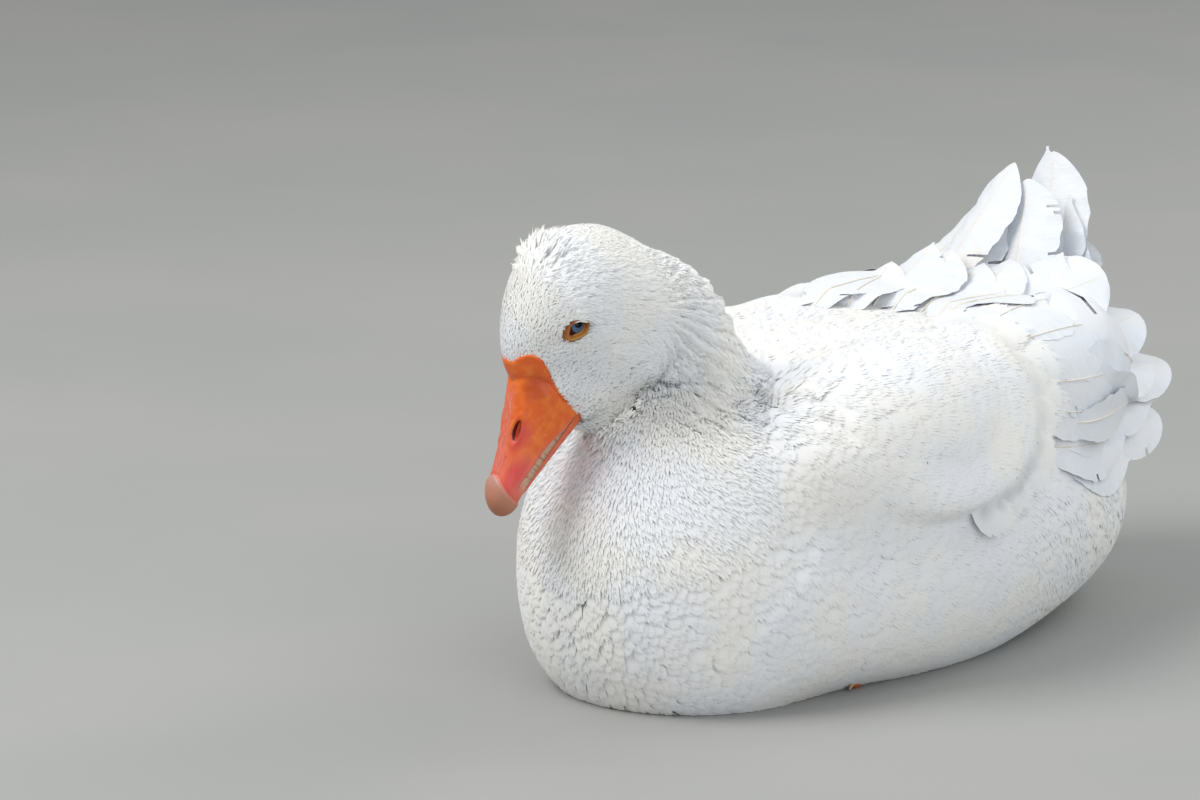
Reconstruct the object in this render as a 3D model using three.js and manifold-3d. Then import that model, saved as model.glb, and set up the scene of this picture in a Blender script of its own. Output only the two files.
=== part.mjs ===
// A life-size domestic goose, white, resting on its belly with the neck drawn back and the bill tipped down.
// Millimetres, +Z up. The goose faces -Y and its left side is +X. The floor is z = 0.
// Each soft part is a smooth blend of ellipsoids and tapering sweeps, turned into a closed mesh on a grid.
import * as THREE from "three";
import { mergeVertices } from "three/addons/utils/BufferGeometryUtils.js";
import Module from "manifold-3d";

const wasm = await Module();
wasm.setup();

// ---------------------------------------------------------------- driving sizes
const GAP = 0.45; // clearance between neighbouring solids
const SLACK = 0.24; // how far a flat place may stray when its needless vertices go
const BODY_LENGTH = 412; // breast to rump, coat included
const BODY_WIDTH = 240; // across the folded wings
const BACK_HEIGHT = 172; // floor to the spine
const WING_TOP = 177; // floor to the top of each folded wing
const BREAST_Y = -122; // middle of the breast ball
const EYE_HEIGHT = 204; // floor to the eyes
const EYE_SPACING = 35; // between the two eyeballs' centres
const EYE_RADIUS = 8.2;
const HEAD_TURN = 20; // degrees that the head turns to the goose's right
const HEAD_DROP = 52; // degrees that the gape line points below level
const BILL_REACH = 96; // eyes to bill tip, along the gape line
const GAPE_DROP = 34.5; // eyes down to the gape line
const BILL_HALF_WIDTH = 16; // at the base
const SHANK_RADIUS = 7;
const TOE_LENGTH = 74;
const WEB_THICKNESS = 4;
const VANE_THICKNESS = 2.6; // of a large feather
const CAMBER = 0.12; // how far a vane's edges droop, as a share of its width

const BODY_CELL = 21; // grid spacing on the trunk and wings
const HEAD_CELL = 11.4; // grid spacing on the head and neck

const WHITE = 0xf2f1ec;
const ORANGE = 0xd9541c;
const DULL_ORANGE = 0xc2622c;
const EYE_BLUE = 0x4a6a92;

// ---------------------------------------------------------------- small vector helpers
const add = (a, b, s = 1) => [a[0] + b[0] * s, a[1] + b[1] * s, a[2] + b[2] * s];
const dot = (a, b) => a[0] * b[0] + a[1] * b[1] + a[2] * b[2];
const cross = (a, b) => [a[1] * b[2] - a[2] * b[1], a[2] * b[0] - a[0] * b[2], a[0] * b[1] - a[1] * b[0]];
const length = (a) => Math.hypot(a[0], a[1], a[2]);
const unit = (a) => add([0, 0, 0], a, 1 / length(a));
const mix = (a, b, t) => a + (b - a) * t;
const radians = (degrees) => (degrees * Math.PI) / 180;
const clamp = (x, low, high) => Math.min(high, Math.max(low, x));

// ---------------------------------------------------------------- the head's own frame
// Origin midway between the eyes; forward runs along the gape line, left and up complete it.
const turn = radians(HEAD_TURN);
const drop = radians(HEAD_DROP);
const heading = [-Math.sin(turn), -Math.cos(turn), 0];
const EYES_MIDDLE = [-16.5, -210, EYE_HEIGHT];
const FORWARD = add(add([0, 0, 0], heading, Math.cos(drop)), [0, 0, 1], -Math.sin(drop));
const LEFT = [Math.cos(turn), -Math.sin(turn), 0];
const UP = cross(FORWARD, LEFT);
const inHead = (forward, left, up) =>
  add(add(add(EYES_MIDDLE, FORWARD, forward), LEFT, left), UP, up);

// ---------------------------------------------------------------- distance fields
const WORLD_AXES = [[1, 0, 0], [0, 1, 0], [0, 0, 1]];

// About the distance to an ellipsoid's surface, negative inside.
function ellipsoid(centre, radii, axes = WORLD_AXES) {
  return (p) => {
    const q = add(p, centre, -1);
    let near = 0;
    let slope = 0;
    for (let i = 0; i < 3; i++) {
      const along = dot(q, axes[i]) / radii[i];
      near += along * along;
      slope += (along / radii[i]) ** 2;
    }
    near = Math.sqrt(near);
    return slope > 0 ? (near * (near - 1)) / Math.sqrt(slope) : -Math.min(...radii);
  };
}

// A ball of changing radius swept through stations [x, y, z, radius].
function sweep(stations) {
  return (p) => {
    let best = Infinity;
    for (let i = 0; i + 1 < stations.length; i++) {
      const [a, b] = [stations[i], stations[i + 1]];
      const along = add(b, a, -1);
      const t = clamp(dot(add(p, a, -1), along) / dot(along, along), 0, 1);
      const centre = add(a, along, t);
      best = Math.min(best, length(add(p, centre, -1)) - mix(a[3], b[3], t));
    }
    return best;
  };
}

// The nearer of several shapes, with the creases between them filled to about the given width.
const blend = (width, ...shapes) => (p) =>
  shapes.reduce((sum, shape) => {
    const d = shape(p);
    const h = Math.max(width - Math.abs(sum - d), 0) / width;
    return Math.min(sum, d) - (h * h * width) / 4;
  }, 1e3);

// Catmull-Rom stations between the given ones, so that a sweep bends smoothly.
function smoothStations(stations, steps = 4) {
  const at = (i) => stations[clamp(i, 0, stations.length - 1)];
  const out = [];
  for (let i = 0; i + 1 < stations.length; i++)
    for (let k = 0; k < steps; k++) {
      const t = k / steps;
      out.push(at(i).map((_, n) => {
        const [a, b, c, d] = [at(i - 1)[n], at(i)[n], at(i + 1)[n], at(i + 2)[n]];
        return b + 0.5 * t * (c - a + t * (2 * a - 5 * b + 4 * c - d + t * (3 * (b - c) + d - a)));
      }));
    }
  out.push(at(stations.length - 1));
  return out;
}

// ---------------------------------------------------------------- the soft shapes
const mirrored = (side, centre) => [side * centre[0], centre[1], centre[2]];

// Hull, breast, flanks and rump, and the raised root of the tail.
function trunkShape() {
  const halfLength = BODY_LENGTH / 2;
  const halfWidth = BODY_WIDTH / 2;
  const hull = ellipsoid([0, 0, 80], [halfWidth - 10, halfLength - 12, BACK_HEIGHT - 80]);
  const breast = ellipsoid([0, BREAST_Y, 46], [87, 84, 74]);
  const rump = ellipsoid([0, 128, 56], [86, 88, 67]);
  const tailRoot = sweep([[0, 108, 112, 54], [0, 166, 150, 27]]);
  const flanks = [1, -1].map((side) => ellipsoid(mirrored(side, [64, 2, 56]), [49, 146, 62]));
  return blend(26, hull, breast, rump, tailRoot, ...flanks);
}

// One folded wing: the rounded covert cap, then the longer part that runs back over the flank.
function wingShape(side) {
  const cap = ellipsoid(mirrored(side, [70, -42, 122]), [50, 98, WING_TOP - 122]);
  const rear = ellipsoid(mirrored(side, [53, 82, 130]), [45, 98, 43]);
  return blend(18, cap, rear);
}

// The neck rises from the breast, folds back on itself and comes forward into the head.
const NECK_STATIONS = smoothStations([
  [0, -128, 84, 74],
  [0, -146, 104, 50],
  [0, -134, 134, 37],
  [0, -123, 164, 31],
  [0, -138, 192, 31],
  [-5, -166, 206, 32],
  [...inHead(-16, 0, -4), 27],
]);

function headShape() {
  const axes = [FORWARD, LEFT, UP];
  const cranium = ellipsoid(inHead(-13, 0, -2), [38, 23.5, 27], axes);
  const face = ellipsoid(inHead(9, 0, -10), [29, 17, 29], axes);
  const cheeks = [1, -1].map((side) => ellipsoid(inHead(-1, side * 6, -29), [34, 16, 28], axes));
  const chin = ellipsoid(inHead(14, 0, -41), [25, 11.5, 15], axes);
  return blend(10, cranium, face, ...cheeks, chin);
}

const body = blend(20, trunkShape(), wingShape(1), wingShape(-1));
const feathered = blend(16, blend(20, body, sweep(NECK_STATIONS)), headShape());

// ---------------------------------------------------------------- from a field to a closed mesh
// Where only two opposite corners of a grid square are inside, two sheets would touch along an edge.
// One of the outer corners is moved just inside, until no such square is left.
function fillPinches(values, index, [nx, ny, nz], steps, cell) {
  for (let found = true; found; ) {
    found = false;
    for (let k = 1; k < nz - 2; k++)
      for (let j = 1; j < ny - 2; j++)
        for (let i = 1; i < nx - 2; i++)
          for (let axis = 0; axis < 3; axis++) {
            const [u, v] = [steps[axis], steps[(axis + 1) % 3]];
            const square = [[0, 0], [1, 0], [1, 1], [0, 1]].map(([a, b]) =>
              index(i + a * u[0] + b * v[0], j + a * u[1] + b * v[1], k + a * u[2] + b * v[2]),
            );
            const [a, b, c, d] = square.map((at) => values[at] < 0);
            if (a !== c || b !== d || a === b) continue;
            values[square[a ? 1 : 0]] = -0.05 * cell;
            found = true;
          }
  }
}

// Surface nets: one vertex in each cell that the surface crosses, one quad round each crossed grid edge.
function netted(field, low, high, cell) {
  const counts = low.map((v, i) => Math.ceil((high[i] - v) / cell) + 2);
  const [nx, ny, nz] = counts;
  const index = (i, j, k) => i + nx * (j + ny * k);
  const place = (i, j, k) => [low[0] + (i - 0.5) * cell, low[1] + (j - 0.5) * cell, low[2] + (k - 0.5) * cell];
  const values = new Float32Array(nx * ny * nz);
  for (let k = 0; k < nz; k++)
    for (let j = 0; j < ny; j++)
      for (let i = 0; i < nx; i++) {
        const border = i === 0 || j === 0 || k === 0 || i === nx - 1 || j === ny - 1 || k === nz - 1;
        values[index(i, j, k)] = border ? 1 : field(place(i, j, k));
      }
  const vertexOf = new Map();
  const positions = [];
  const steps = [[1, 0, 0], [0, 1, 0], [0, 0, 1]];
  fillPinches(values, index, counts, steps, cell);
  const corners = [0, 1, 2, 3, 4, 5, 6, 7].map((c) => [c & 1, (c >> 1) & 1, c >> 2]);
  const vertexIn = (i, j, k) => {
    const key = index(i, j, k);
    if (vertexOf.has(key)) return vertexOf.get(key);
    let sum = [0, 0, 0];
    let crossings = 0;
    for (const [a, b, c] of corners)
      for (const [dx, dy, dz] of steps) {
        if (a + dx > 1 || b + dy > 1 || c + dz > 1) continue;
        const one = values[index(i + a, j + b, k + c)];
        const two = values[index(i + a + dx, j + b + dy, k + c + dz)];
        if (one < 0 === two < 0) continue;
        const t = one / (one - two);
        sum = add(sum, place(i + a + dx * t, j + b + dy * t, k + c + dz * t));
        crossings++;
      }
    vertexOf.set(key, positions.length / 3);
    positions.push(sum[0] / crossings, sum[1] / crossings, sum[2] / crossings);
    return vertexOf.get(key);
  };
  const triangles = [];
  for (let k = 0; k < nz - 1; k++)
    for (let j = 0; j < ny - 1; j++)
      for (let i = 0; i < nx - 1; i++)
        steps.forEach(([dx, dy, dz], axis) => {
          const inside = values[index(i, j, k)] < 0;
          if (inside === values[index(i + dx, j + dy, k + dz)] < 0) return;
          const [u, v] = [steps[(axis + 1) % 3], steps[(axis + 2) % 3]];
          const ring = [[0, 0], [1, 0], [1, 1], [0, 1]].map(([s, t]) =>
            vertexIn(i - s * u[0] - t * v[0], j - s * u[1] - t * v[1], k - s * u[2] - t * v[2]),
          );
          if (!inside) ring.reverse();
          triangles.push(ring[0], ring[1], ring[2], ring[0], ring[2], ring[3]);
        });
  return new THREE.BufferGeometry()
    .setAttribute("position", new THREE.Float32BufferAttribute(positions, 3))
    .setIndex(triangles);
}

// ---------------------------------------------------------------- solids
function solidOf(geometry) {
  const bare = geometry.clone();
  bare.deleteAttribute("normal");
  bare.deleteAttribute("uv");
  const merged = mergeVertices(bare, 1e-3);
  const mesh = new wasm.Mesh({
    numProp: 3,
    vertProperties: new Float32Array(merged.attributes.position.array),
    triVerts: new Uint32Array(merged.index.array),
  });
  return new wasm.Manifold(mesh);
}

// The largest separate body of a solid, so that no crumbs of a cut are left.
function mainBody(solid) {
  return solid.decompose().reduce((best, s) => (s.volume() > best.volume() ? s : best));
}

const BIG = 900; // the side of a cutting block, larger than the goose

// Everything on the side of a plane that its normal points to; grow moves the plane back.
function beyond(point, normal, grow = 0) {
  const block = new THREE.BoxGeometry(BIG, BIG, BIG);
  const facing = new THREE.Quaternion().setFromUnitVectors(
    new THREE.Vector3(0, 0, 1),
    new THREE.Vector3(...unit(normal)),
  );
  const centre = add(point, unit(normal), BIG / 2 - grow);
  block.applyMatrix4(new THREE.Matrix4().compose(new THREE.Vector3(...centre), facing, new THREE.Vector3(1, 1, 1)));
  return solidOf(block);
}

function stretchedBall(centre, radii, slices = 18) {
  const ball = new THREE.SphereGeometry(1, slices, (2 * slices) / 3);
  ball.scale(...radii);
  ball.translate(...centre);
  return solidOf(ball);
}

const above = (height) => beyond([0, 0, height], [0, 0, 1]);

// ---------------------------------------------------------------- feathers
// The outline of a broad feather: half its width as a share, from the quill end (0) to the round tip (1).
function vaneShare(s) {
  const opening = 0.34 + 0.66 * Math.sin(Math.min(1, s / 0.6) * Math.PI * 0.5);
  const tip = s > 0.7 ? Math.sqrt(Math.max(0, 1 - ((s - 0.7) / 0.3) ** 2)) : 1;
  return opening * Math.max(tip, 0.12);
}

// One large feather as a cambered plate. root, along and face (its upper side) place it;
// curl bends it towards its upper side.
// grow thickens and widens it all round, to cut its slot in a neighbour.
function vane({ root, along, face, length: long, width, curl = 0 }, grow) {
  const rows = 4;
  const columns = 2;
  const direction = unit(along);
  const across = unit(cross(direction, face));
  const upward = cross(across, direction);
  const points = [];
  for (const side of [1, -1])
    for (let i = 0; i <= rows; i++)
      for (let j = 0; j <= columns; j++) {
        const s = i / rows;
        const t = (2 * j) / columns - 1;
        const half = (width / 2) * vaneShare(s) + grow;
        const lift = curl * long * s * s - CAMBER * width * t * t * vaneShare(s) + side * (VANE_THICKNESS / 2 + grow);
        let p = add(root, direction, long * s + grow * (2 * s - 1));
        p = add(p, across, t * half);
        points.push(...add(p, upward, lift));
      }
  const at = (side, i, j) => side * (rows + 1) * (columns + 1) + i * (columns + 1) + j;
  const faces = [];
  const quad = (a, b, c, d) => faces.push(a, b, c, a, c, d);
  for (let i = 0; i < rows; i++)
    for (let j = 0; j < columns; j++) {
      quad(at(0, i, j), at(0, i, j + 1), at(0, i + 1, j + 1), at(0, i + 1, j));
      quad(at(1, i, j), at(1, i + 1, j), at(1, i + 1, j + 1), at(1, i, j + 1));
    }
  for (let i = 0; i < rows; i++) {
    quad(at(0, i, 0), at(0, i + 1, 0), at(1, i + 1, 0), at(1, i, 0));
    quad(at(0, i + 1, columns), at(0, i, columns), at(1, i, columns), at(1, i + 1, columns));
  }
  for (let j = 0; j < columns; j++) {
    quad(at(0, 0, j + 1), at(0, 0, j), at(1, 0, j), at(1, 0, j + 1));
    quad(at(0, rows, j), at(0, rows, j + 1), at(1, rows, j + 1), at(1, rows, j));
  }
  const geometry = new THREE.BufferGeometry()
    .setAttribute("position", new THREE.Float32BufferAttribute(points, 3))
    .setIndex(faces);
  const solid = solidOf(geometry);
  return solid.volume() > 0 ? solid : solidOf(flipped(geometry));
}

function flipped(geometry) {
  const turned = geometry.clone();
  const list = turned.index.array;
  for (let i = 0; i < list.length; i += 3) [list[i], list[i + 1]] = [list[i + 1], list[i]];
  return turned;
}

const sum = (solids) => solids.reduce((all, one) => all.add(one));

// ---------------------------------------------------------------- horn: the bill
const BILL_FROM = 12; // where the bill starts, hidden in the face
const RING_POINTS = 14;

// A closed solid through rings of points: its ends are closed by fans.
function loft(rings) {
  const positions = rings.flat(2);
  const n = rings[0].length;
  const faces = [];
  for (let i = 0; i + 1 < rings.length; i++)
    for (let j = 0; j < n; j++) {
      const [a, b] = [i * n + j, i * n + ((j + 1) % n)];
      faces.push(a, b, b + n, a, b + n, a + n);
    }
  for (const [ring, turned] of [[0, true], [rings.length - 1, false]]) {
    const middle = rings[ring].reduce((sum, p) => add(sum, p), [0, 0, 0]).map((v) => v / n);
    positions.push(...middle);
    const centre = positions.length / 3 - 1;
    for (let j = 0; j < n; j++) {
      const [a, b] = [ring * n + j, ring * n + ((j + 1) % n)];
      faces.push(...(turned ? [b, a, centre] : [a, b, centre]));
    }
  }
  const geometry = new THREE.BufferGeometry()
    .setAttribute("position", new THREE.Float32BufferAttribute(positions, 3))
    .setIndex(faces);
  const solid = solidOf(geometry);
  return solid.volume() > 0 ? solid : solidOf(flipped(geometry));
}

// Values between [at, value] pairs, along straight lines.
function along(pairs, x) {
  for (let i = 0; i + 1 < pairs.length; i++)
    if (x <= pairs[i + 1][0])
      return mix(pairs[i][1], pairs[i + 1][1], clamp((x - pairs[i][0]) / (pairs[i + 1][0] - pairs[i][0]), 0, 1));
  return pairs.at(-1)[1];
}

const CULMEN = [[12, 3], [29, 3], [45, -5.5], [62, -15.5], [78, -22], [88, -25], [94, -31], [96, -35]];
const UPPER_WIDTH = [[12, 15], [32, 16], [52, 13.4], [72, 12.2], [84, 10.6], [91, 8], [95, 4.5], [96, 2]];
const TOMIUM = [[12, 0], [60, 0], [84, 0.5], [92, 2.6], [96, 5]]; // how far the edge hangs below the gape line
const LOWER_DEPTH = [[12, 9], [32, 8.5], [60, 6], [84, 4.2], [90, 1.8]];

// The rounded upper half, from the culmen down to the cutting edge.
function upperBill(grow) {
  const stations = [BILL_FROM - grow, 22, 32, 44, 58, 72, 82, 89, 93.5, BILL_REACH + grow];
  return loft(stations.map((forward) => {
    const width = (along(UPPER_WIDTH, forward) * BILL_HALF_WIDTH) / 16 + grow;
    const top = along(CULMEN, forward) + grow;
    const bottom = -GAPE_DROP - along(TOMIUM, forward) - grow;
    return Array.from({ length: RING_POINTS }, (_, k) => {
      const angle = (k / RING_POINTS) * 2 * Math.PI;
      const [c, d] = [Math.cos(angle), Math.sin(angle)];
      const left = width * Math.sign(c) * Math.abs(c) ** 0.8;
      const rise = d > 0 ? (top - bottom) * d ** 0.9 : 0;
      return inHead(forward, d > 0 ? left : width * c, bottom + rise + (d < 0 ? 1.2 * d + 1.2 : 1.2));
    });
  }));
}

// The soft lobe of bill skin that runs up each side of the forehead's point of feathers.
const LOBE = [22, 7.5, -8];
const LOBE_RADIUS = 8.6;
const lobe = (side, grow) =>
  stretchedBall(inHead(LOBE[0], side * LOBE[1], LOBE[2]), [1, 1, 1].map(() => LOBE_RADIUS + grow), 9);
const wholeUpperBill = (grow) => sum([upperBill(grow), lobe(1, grow), lobe(-1, grow)]);

// The shallow lower half, shut against the upper one.
function lowerBill(grow) {
  const stations = [BILL_FROM - grow, 30, 46, 62, 76, 85, 89 + grow];
  return loft(stations.map((forward) => {
    const width = along(UPPER_WIDTH, forward) - 1.6 + grow;
    const top = -GAPE_DROP - GAP + grow;
    const depth = along(LOWER_DEPTH, forward) + 2 * grow;
    return Array.from({ length: RING_POINTS }, (_, k) => {
      const angle = (k / RING_POINTS) * 2 * Math.PI;
      const [c, d] = [Math.cos(angle), Math.sin(angle)];
      return inHead(forward, width * c, top + (d < 0 ? depth * d : 0.01 * d));
    });
  }));
}

// ---------------------------------------------------------------- legs, folded under the belly
// The shank lies level from the heel forward to the foot; the foot lies flat with its web half spread.
const TOE_ROOT = [50, -14];
const HEEL = [64, 84];

// A bar with the given number of sides through stations [x, y, z, radius], grown all round.
function bar(stations, grow, sides = 6) {
  const last = stations.length - 1;
  return loft(stations.map((station, i) => {
    const direction = unit(add(stations[Math.min(i + 1, last)], stations[Math.max(i - 1, 0)], -1));
    const across = unit(cross([0, 0, 1], direction));
    const upward = cross(direction, across);
    const centre = add(station, direction, i === 0 ? -grow : i === last ? grow : 0);
    return Array.from({ length: sides }, (_, k) => {
      const angle = ((k + 0.5) / sides) * 2 * Math.PI;
      const reach = station[3] + grow;
      return add(add(centre, across, reach * Math.cos(angle)), upward, reach * Math.sin(angle));
    });
  }));
}

function shank(side, grow) {
  const [x, y] = HEEL;
  return bar([
    [side * (x + 1), y + 8, 6, SHANK_RADIUS - 2],
    [side * x, y, 6.5, SHANK_RADIUS + 2],
    [side * (x - 3), y - 16, 6, SHANK_RADIUS],
    [side * (x - 9), y - 50, 5.5, SHANK_RADIUS - 1],
    [side * (TOE_ROOT[0] + 1), TOE_ROOT[1] + 20, 6, SHANK_RADIUS],
  ], grow, 8);
}

function webbedFoot(side, grow) {
  const root = [side * TOE_ROOT[0], TOE_ROOT[1]];
  const tips = [-24, 0, 22].map((spread, i) => {
    const angle = radians(spread);
    const reach = TOE_LENGTH * [0.86, 1, 0.9][i];
    return [root[0] + side * reach * Math.sin(angle), root[1] - reach * Math.cos(angle)];
  });
  const outline = new THREE.Shape();
  const hollow = (one, two) => [0.45 * (one[0] + two[0]) + 0.1 * root[0], 0.45 * (one[1] + two[1]) + 0.1 * root[1]];
  const margin = [root, tips[0], hollow(tips[0], tips[1]), tips[1], hollow(tips[1], tips[2]), tips[2]];
  margin.forEach(([x, y], i) => {
    const away = unit([x - root[0], y - root[1] + 1e-6, 0]);
    const at = i ? [x + grow * 2 * away[0], y + grow * 2 * away[1]] : [x, y + 4 + grow * 3];
    if (i) outline.lineTo(...at);
    else outline.moveTo(...at);
  });
  const web = solidOf(new THREE.ExtrudeGeometry(outline, {
    depth: WEB_THICKNESS + 2 * grow, bevelEnabled: false,
  }).translate(0, 0, -grow));
  const toes = tips.map((tip) => bar([[...root, 6, 7], [...tip, 3.6, 4.4]], grow));
  const ball = bar([[root[0], root[1] + 12, 7, 8], [root[0], root[1] - 8, 6, 8]], grow);
  return sum([web, ball, ...toes]);
}

// ---------------------------------------------------------------- cuts
// The parts are thin cuts through one smooth goose. A part is what lies inside its block and its
// neighbour is what lies outside the same block, grown by the gap.
const NECK_MIDDLE = [0, -172, 190]; // the ball that holds the whole neck, from its root in the breast
const NECK_REACH = [62, 96, 92];
const HEAD_BACK = [[-5, -176, 210], [-0.1, -0.98, 0.12]];
const THROAT = [[-8, -189, 153], [0, -0.3, 0.95]];

const fine = solidOf(netted(feathered, [-75, -262, 60], [75, -60, 252], HEAD_CELL));
const coarse = solidOf(netted(feathered, [-150, -240, -20], [150, 240, 210], BODY_CELL)).intersect(above(0));

const headBlock = (grow) => beyond(...HEAD_BACK, grow).intersect(beyond(...THROAT, grow));
const neckBlock = (grow) => stretchedBall(NECK_MIDDLE, NECK_REACH.map((r) => r + grow));

// The wing's outline seen from the side, an ellipse; and the flank that it lies on.
const WING_MIDDLE = [0, 10, 150];
const WING_HALF = [148, 54];
const SPINE_STRIP = 11; // half the width of bare back between the wings

function wingBlock(side, grow) {
  const outline = new THREE.CylinderGeometry(1, 1, BIG, 30);
  outline.rotateZ(Math.PI / 2);
  outline.scale(1, WING_HALF[0] + grow, WING_HALF[1] + grow);
  outline.translate(...WING_MIDDLE);
  const core = stretchedBall([0, 4, 84], [96 - grow, 176 - grow, 74 - grow]);
  return solidOf(outline).intersect(beyond([side * SPINE_STRIP, 0, 0], [side, 0, 0], grow)).subtract(core);
}

// ---------------------------------------------------------------- the large feathers
// Each entry: root, direction, the way its upper side looks, length, width, curl, sideways sweep.
const TAIL_FEATHERS = [
  { root: [-24, 160, 146], along: [-0.2, 0.5, 0.84], face: [-0.2, -0.75, 0.6], length: 90, width: 36, curl: 0.05 },
  { root: [-13, 163, 151], along: [-0.12, 0.44, 0.89], face: [-0.1, -0.78, 0.6], length: 86, width: 38, curl: 0.05 },
  { root: [-2, 165, 154], along: [-0.06, 0.38, 0.92], face: [0, -0.8, 0.5], length: 94, width: 40, curl: 0.06 },
  { root: [8, 163, 152], along: [0.02, 0.38, 0.92], face: [0.05, -0.8, 0.5], length: 94, width: 40, curl: 0.05 },
  { root: [17, 159, 148], along: [0.06, 0.42, 0.9], face: [0.1, -0.75, 0.6], length: 76, width: 34, curl: 0.04 },
];

// The near entries are for the left wing, whose long feathers have slipped out of their stack.
const LEFT_WING_FEATHERS = [
  { root: [52, 90, 158], along: [-0.13, 0.94, 0.16], face: [0.1, -0.35, 0.9], length: 92, width: 50, curl: 0.04 },
  { root: [60, 98, 152], along: [-0.06, 0.98, -0.02], face: [0.4, -0.2, 0.9], length: 114, width: 50, curl: 0.02 },
  { root: [68, 94, 142], along: [-0.04, 0.98, -0.12], face: [0.45, -0.1, 0.9], length: 136, width: 50, curl: -0.03 },
  { root: [80, 86, 130], along: [-0.08, 0.94, -0.27], face: [0.7, 0.1, 0.7], length: 128, width: 46, curl: 0.02 },
];
const RIGHT_WING_FEATHERS = [
  { root: [-48, 56, 158], along: [0, 0.96, 0.2], face: [-0.15, -0.3, 0.9], length: 96, width: 50, curl: 0.03 },
  { root: [-52, 84, 160], along: [-0.02, 0.95, 0.25], face: [-0.15, -0.3, 0.9], length: 108, width: 52, curl: 0.03 },
  { root: [-55, 100, 150], along: [-0.02, 0.88, 0.42], face: [-0.2, -0.5, 0.85], length: 162, width: 46, curl: 0.02 },
  { root: [-68, 96, 142], along: [0.03, 0.98, -0.08], face: [-0.4, -0.1, 0.9], length: 136, width: 52, curl: 0.02 },
  { root: [-80, 86, 130], along: [0.08, 0.94, -0.26], face: [-0.7, 0.1, 0.7], length: 128, width: 46, curl: 0.02 },
];

// ---------------------------------------------------------------- assembly
const group = new THREE.Group();
const finish = (color, roughness) => new THREE.MeshStandardMaterial({ color, roughness, metalness: 0 });
const plumage = finish(WHITE, 0.85);

function place(name, solid, material) {
  const { numProp, numVert, vertProperties, triVerts } = mainBody(mainBody(solid).simplify(SLACK)).getMesh();
  const positions = new Float32Array(numVert * 3);
  for (let i = 0; i < numVert; i++) positions.set(vertProperties.subarray(i * numProp, i * numProp + 3), i * 3);
  const geometry = new THREE.BufferGeometry()
    .setAttribute("position", new THREE.BufferAttribute(positions, 3))
    .setIndex(new THREE.BufferAttribute(triVerts, 1));
  geometry.computeVertexNormals();
  const mesh = new THREE.Mesh(geometry, material);
  mesh.name = name;
  group.add(mesh);
}

const vanes = (feathers, grow) => sum(feathers.map((feather) => vane(feather, grow)));
const eyeAt = (side) => inHead(0, (side * EYE_SPACING) / 2, 0);
const eyeball = (side, grow) => stretchedBall(eyeAt(side), [1, 1, 1].map(() => EYE_RADIUS + grow), 12);
const sides = [["left", 1, LEFT_WING_FEATHERS], ["right", -1, RIGHT_WING_FEATHERS]];

let headSolid = fine.intersect(headBlock(0)).subtract(wholeUpperBill(GAP)).subtract(lowerBill(GAP));
for (const [, side] of sides) headSolid = headSolid.subtract(eyeball(side, GAP));
place("head", headSolid, plumage);

place("neck", fine.intersect(neckBlock(0)).subtract(headBlock(GAP)), plumage);

const TAIL_ROOT = [0, 178, 156]; // the ball that holds the root of the tail
const TAIL_ROOT_REACH = [36, 56, 46];
const tailBlock = (grow) => stretchedBall(TAIL_ROOT, TAIL_ROOT_REACH.map((r) => r + grow));
const torso = coarse.subtract(neckBlock(GAP));
let trunkSolid = torso.subtract(tailBlock(GAP)).subtract(vanes(TAIL_FEATHERS, GAP));
for (const [, side, feathers] of sides) {
  trunkSolid = trunkSolid.subtract(wingBlock(side, GAP)).subtract(vanes(feathers, GAP));
  trunkSolid = trunkSolid.subtract(shank(side, GAP)).subtract(webbedFoot(side, GAP));
}
place("trunk", trunkSolid, plumage);

const tailSolid = torso.intersect(tailBlock(0)).add(vanes(TAIL_FEATHERS, 0));
place("tail", tailSolid, plumage);

for (const [name, side, feathers] of sides) {
  const wing = torso.intersect(wingBlock(side, 0)).subtract(tailBlock(GAP));
  const clear = vanes(feathers, 0).subtract(tailBlock(GAP)).subtract(vanes(TAIL_FEATHERS, GAP));
  place(`wing_${name}`, wing.add(clear), plumage);
}

place("bill_upper", wholeUpperBill(0), finish(ORANGE, 0.4));
place("bill_lower", lowerBill(0).subtract(upperBill(GAP)), finish(DULL_ORANGE, 0.45));
for (const [name, side] of sides) {
  place(`eye_${name}`, eyeball(side, 0), finish(EYE_BLUE, 0.1));
  place(`leg_${name}`, shank(side, 0).intersect(above(0)).subtract(webbedFoot(side, GAP)), finish(ORANGE, 0.5));
  place(`foot_${name}`, webbedFoot(side, 0).intersect(above(0)), finish(ORANGE, 0.5));
}

// The origin is under the middle of the whole goose's box.
const box = new THREE.Box3().setFromObject(group);
const middle = box.getCenter(new THREE.Vector3());
for (const mesh of group.children) mesh.geometry.translate(-middle.x, -middle.y, -box.min.z);

export default group;
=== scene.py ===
# %% [markdown]
# # A white farm goose at rest
# The goose lies on its belly with its neck drawn back and its bill tipped down, at life size. It is built
# as a museum makes such a model: a smooth body first, then the bill and the eyes, then the plumage
# feather by feather, and the feet last. The fixed frame gives the size and place of every part.

import math

import bmesh
import bpy
import numpy as np
from mathutils import Matrix, Vector


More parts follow.
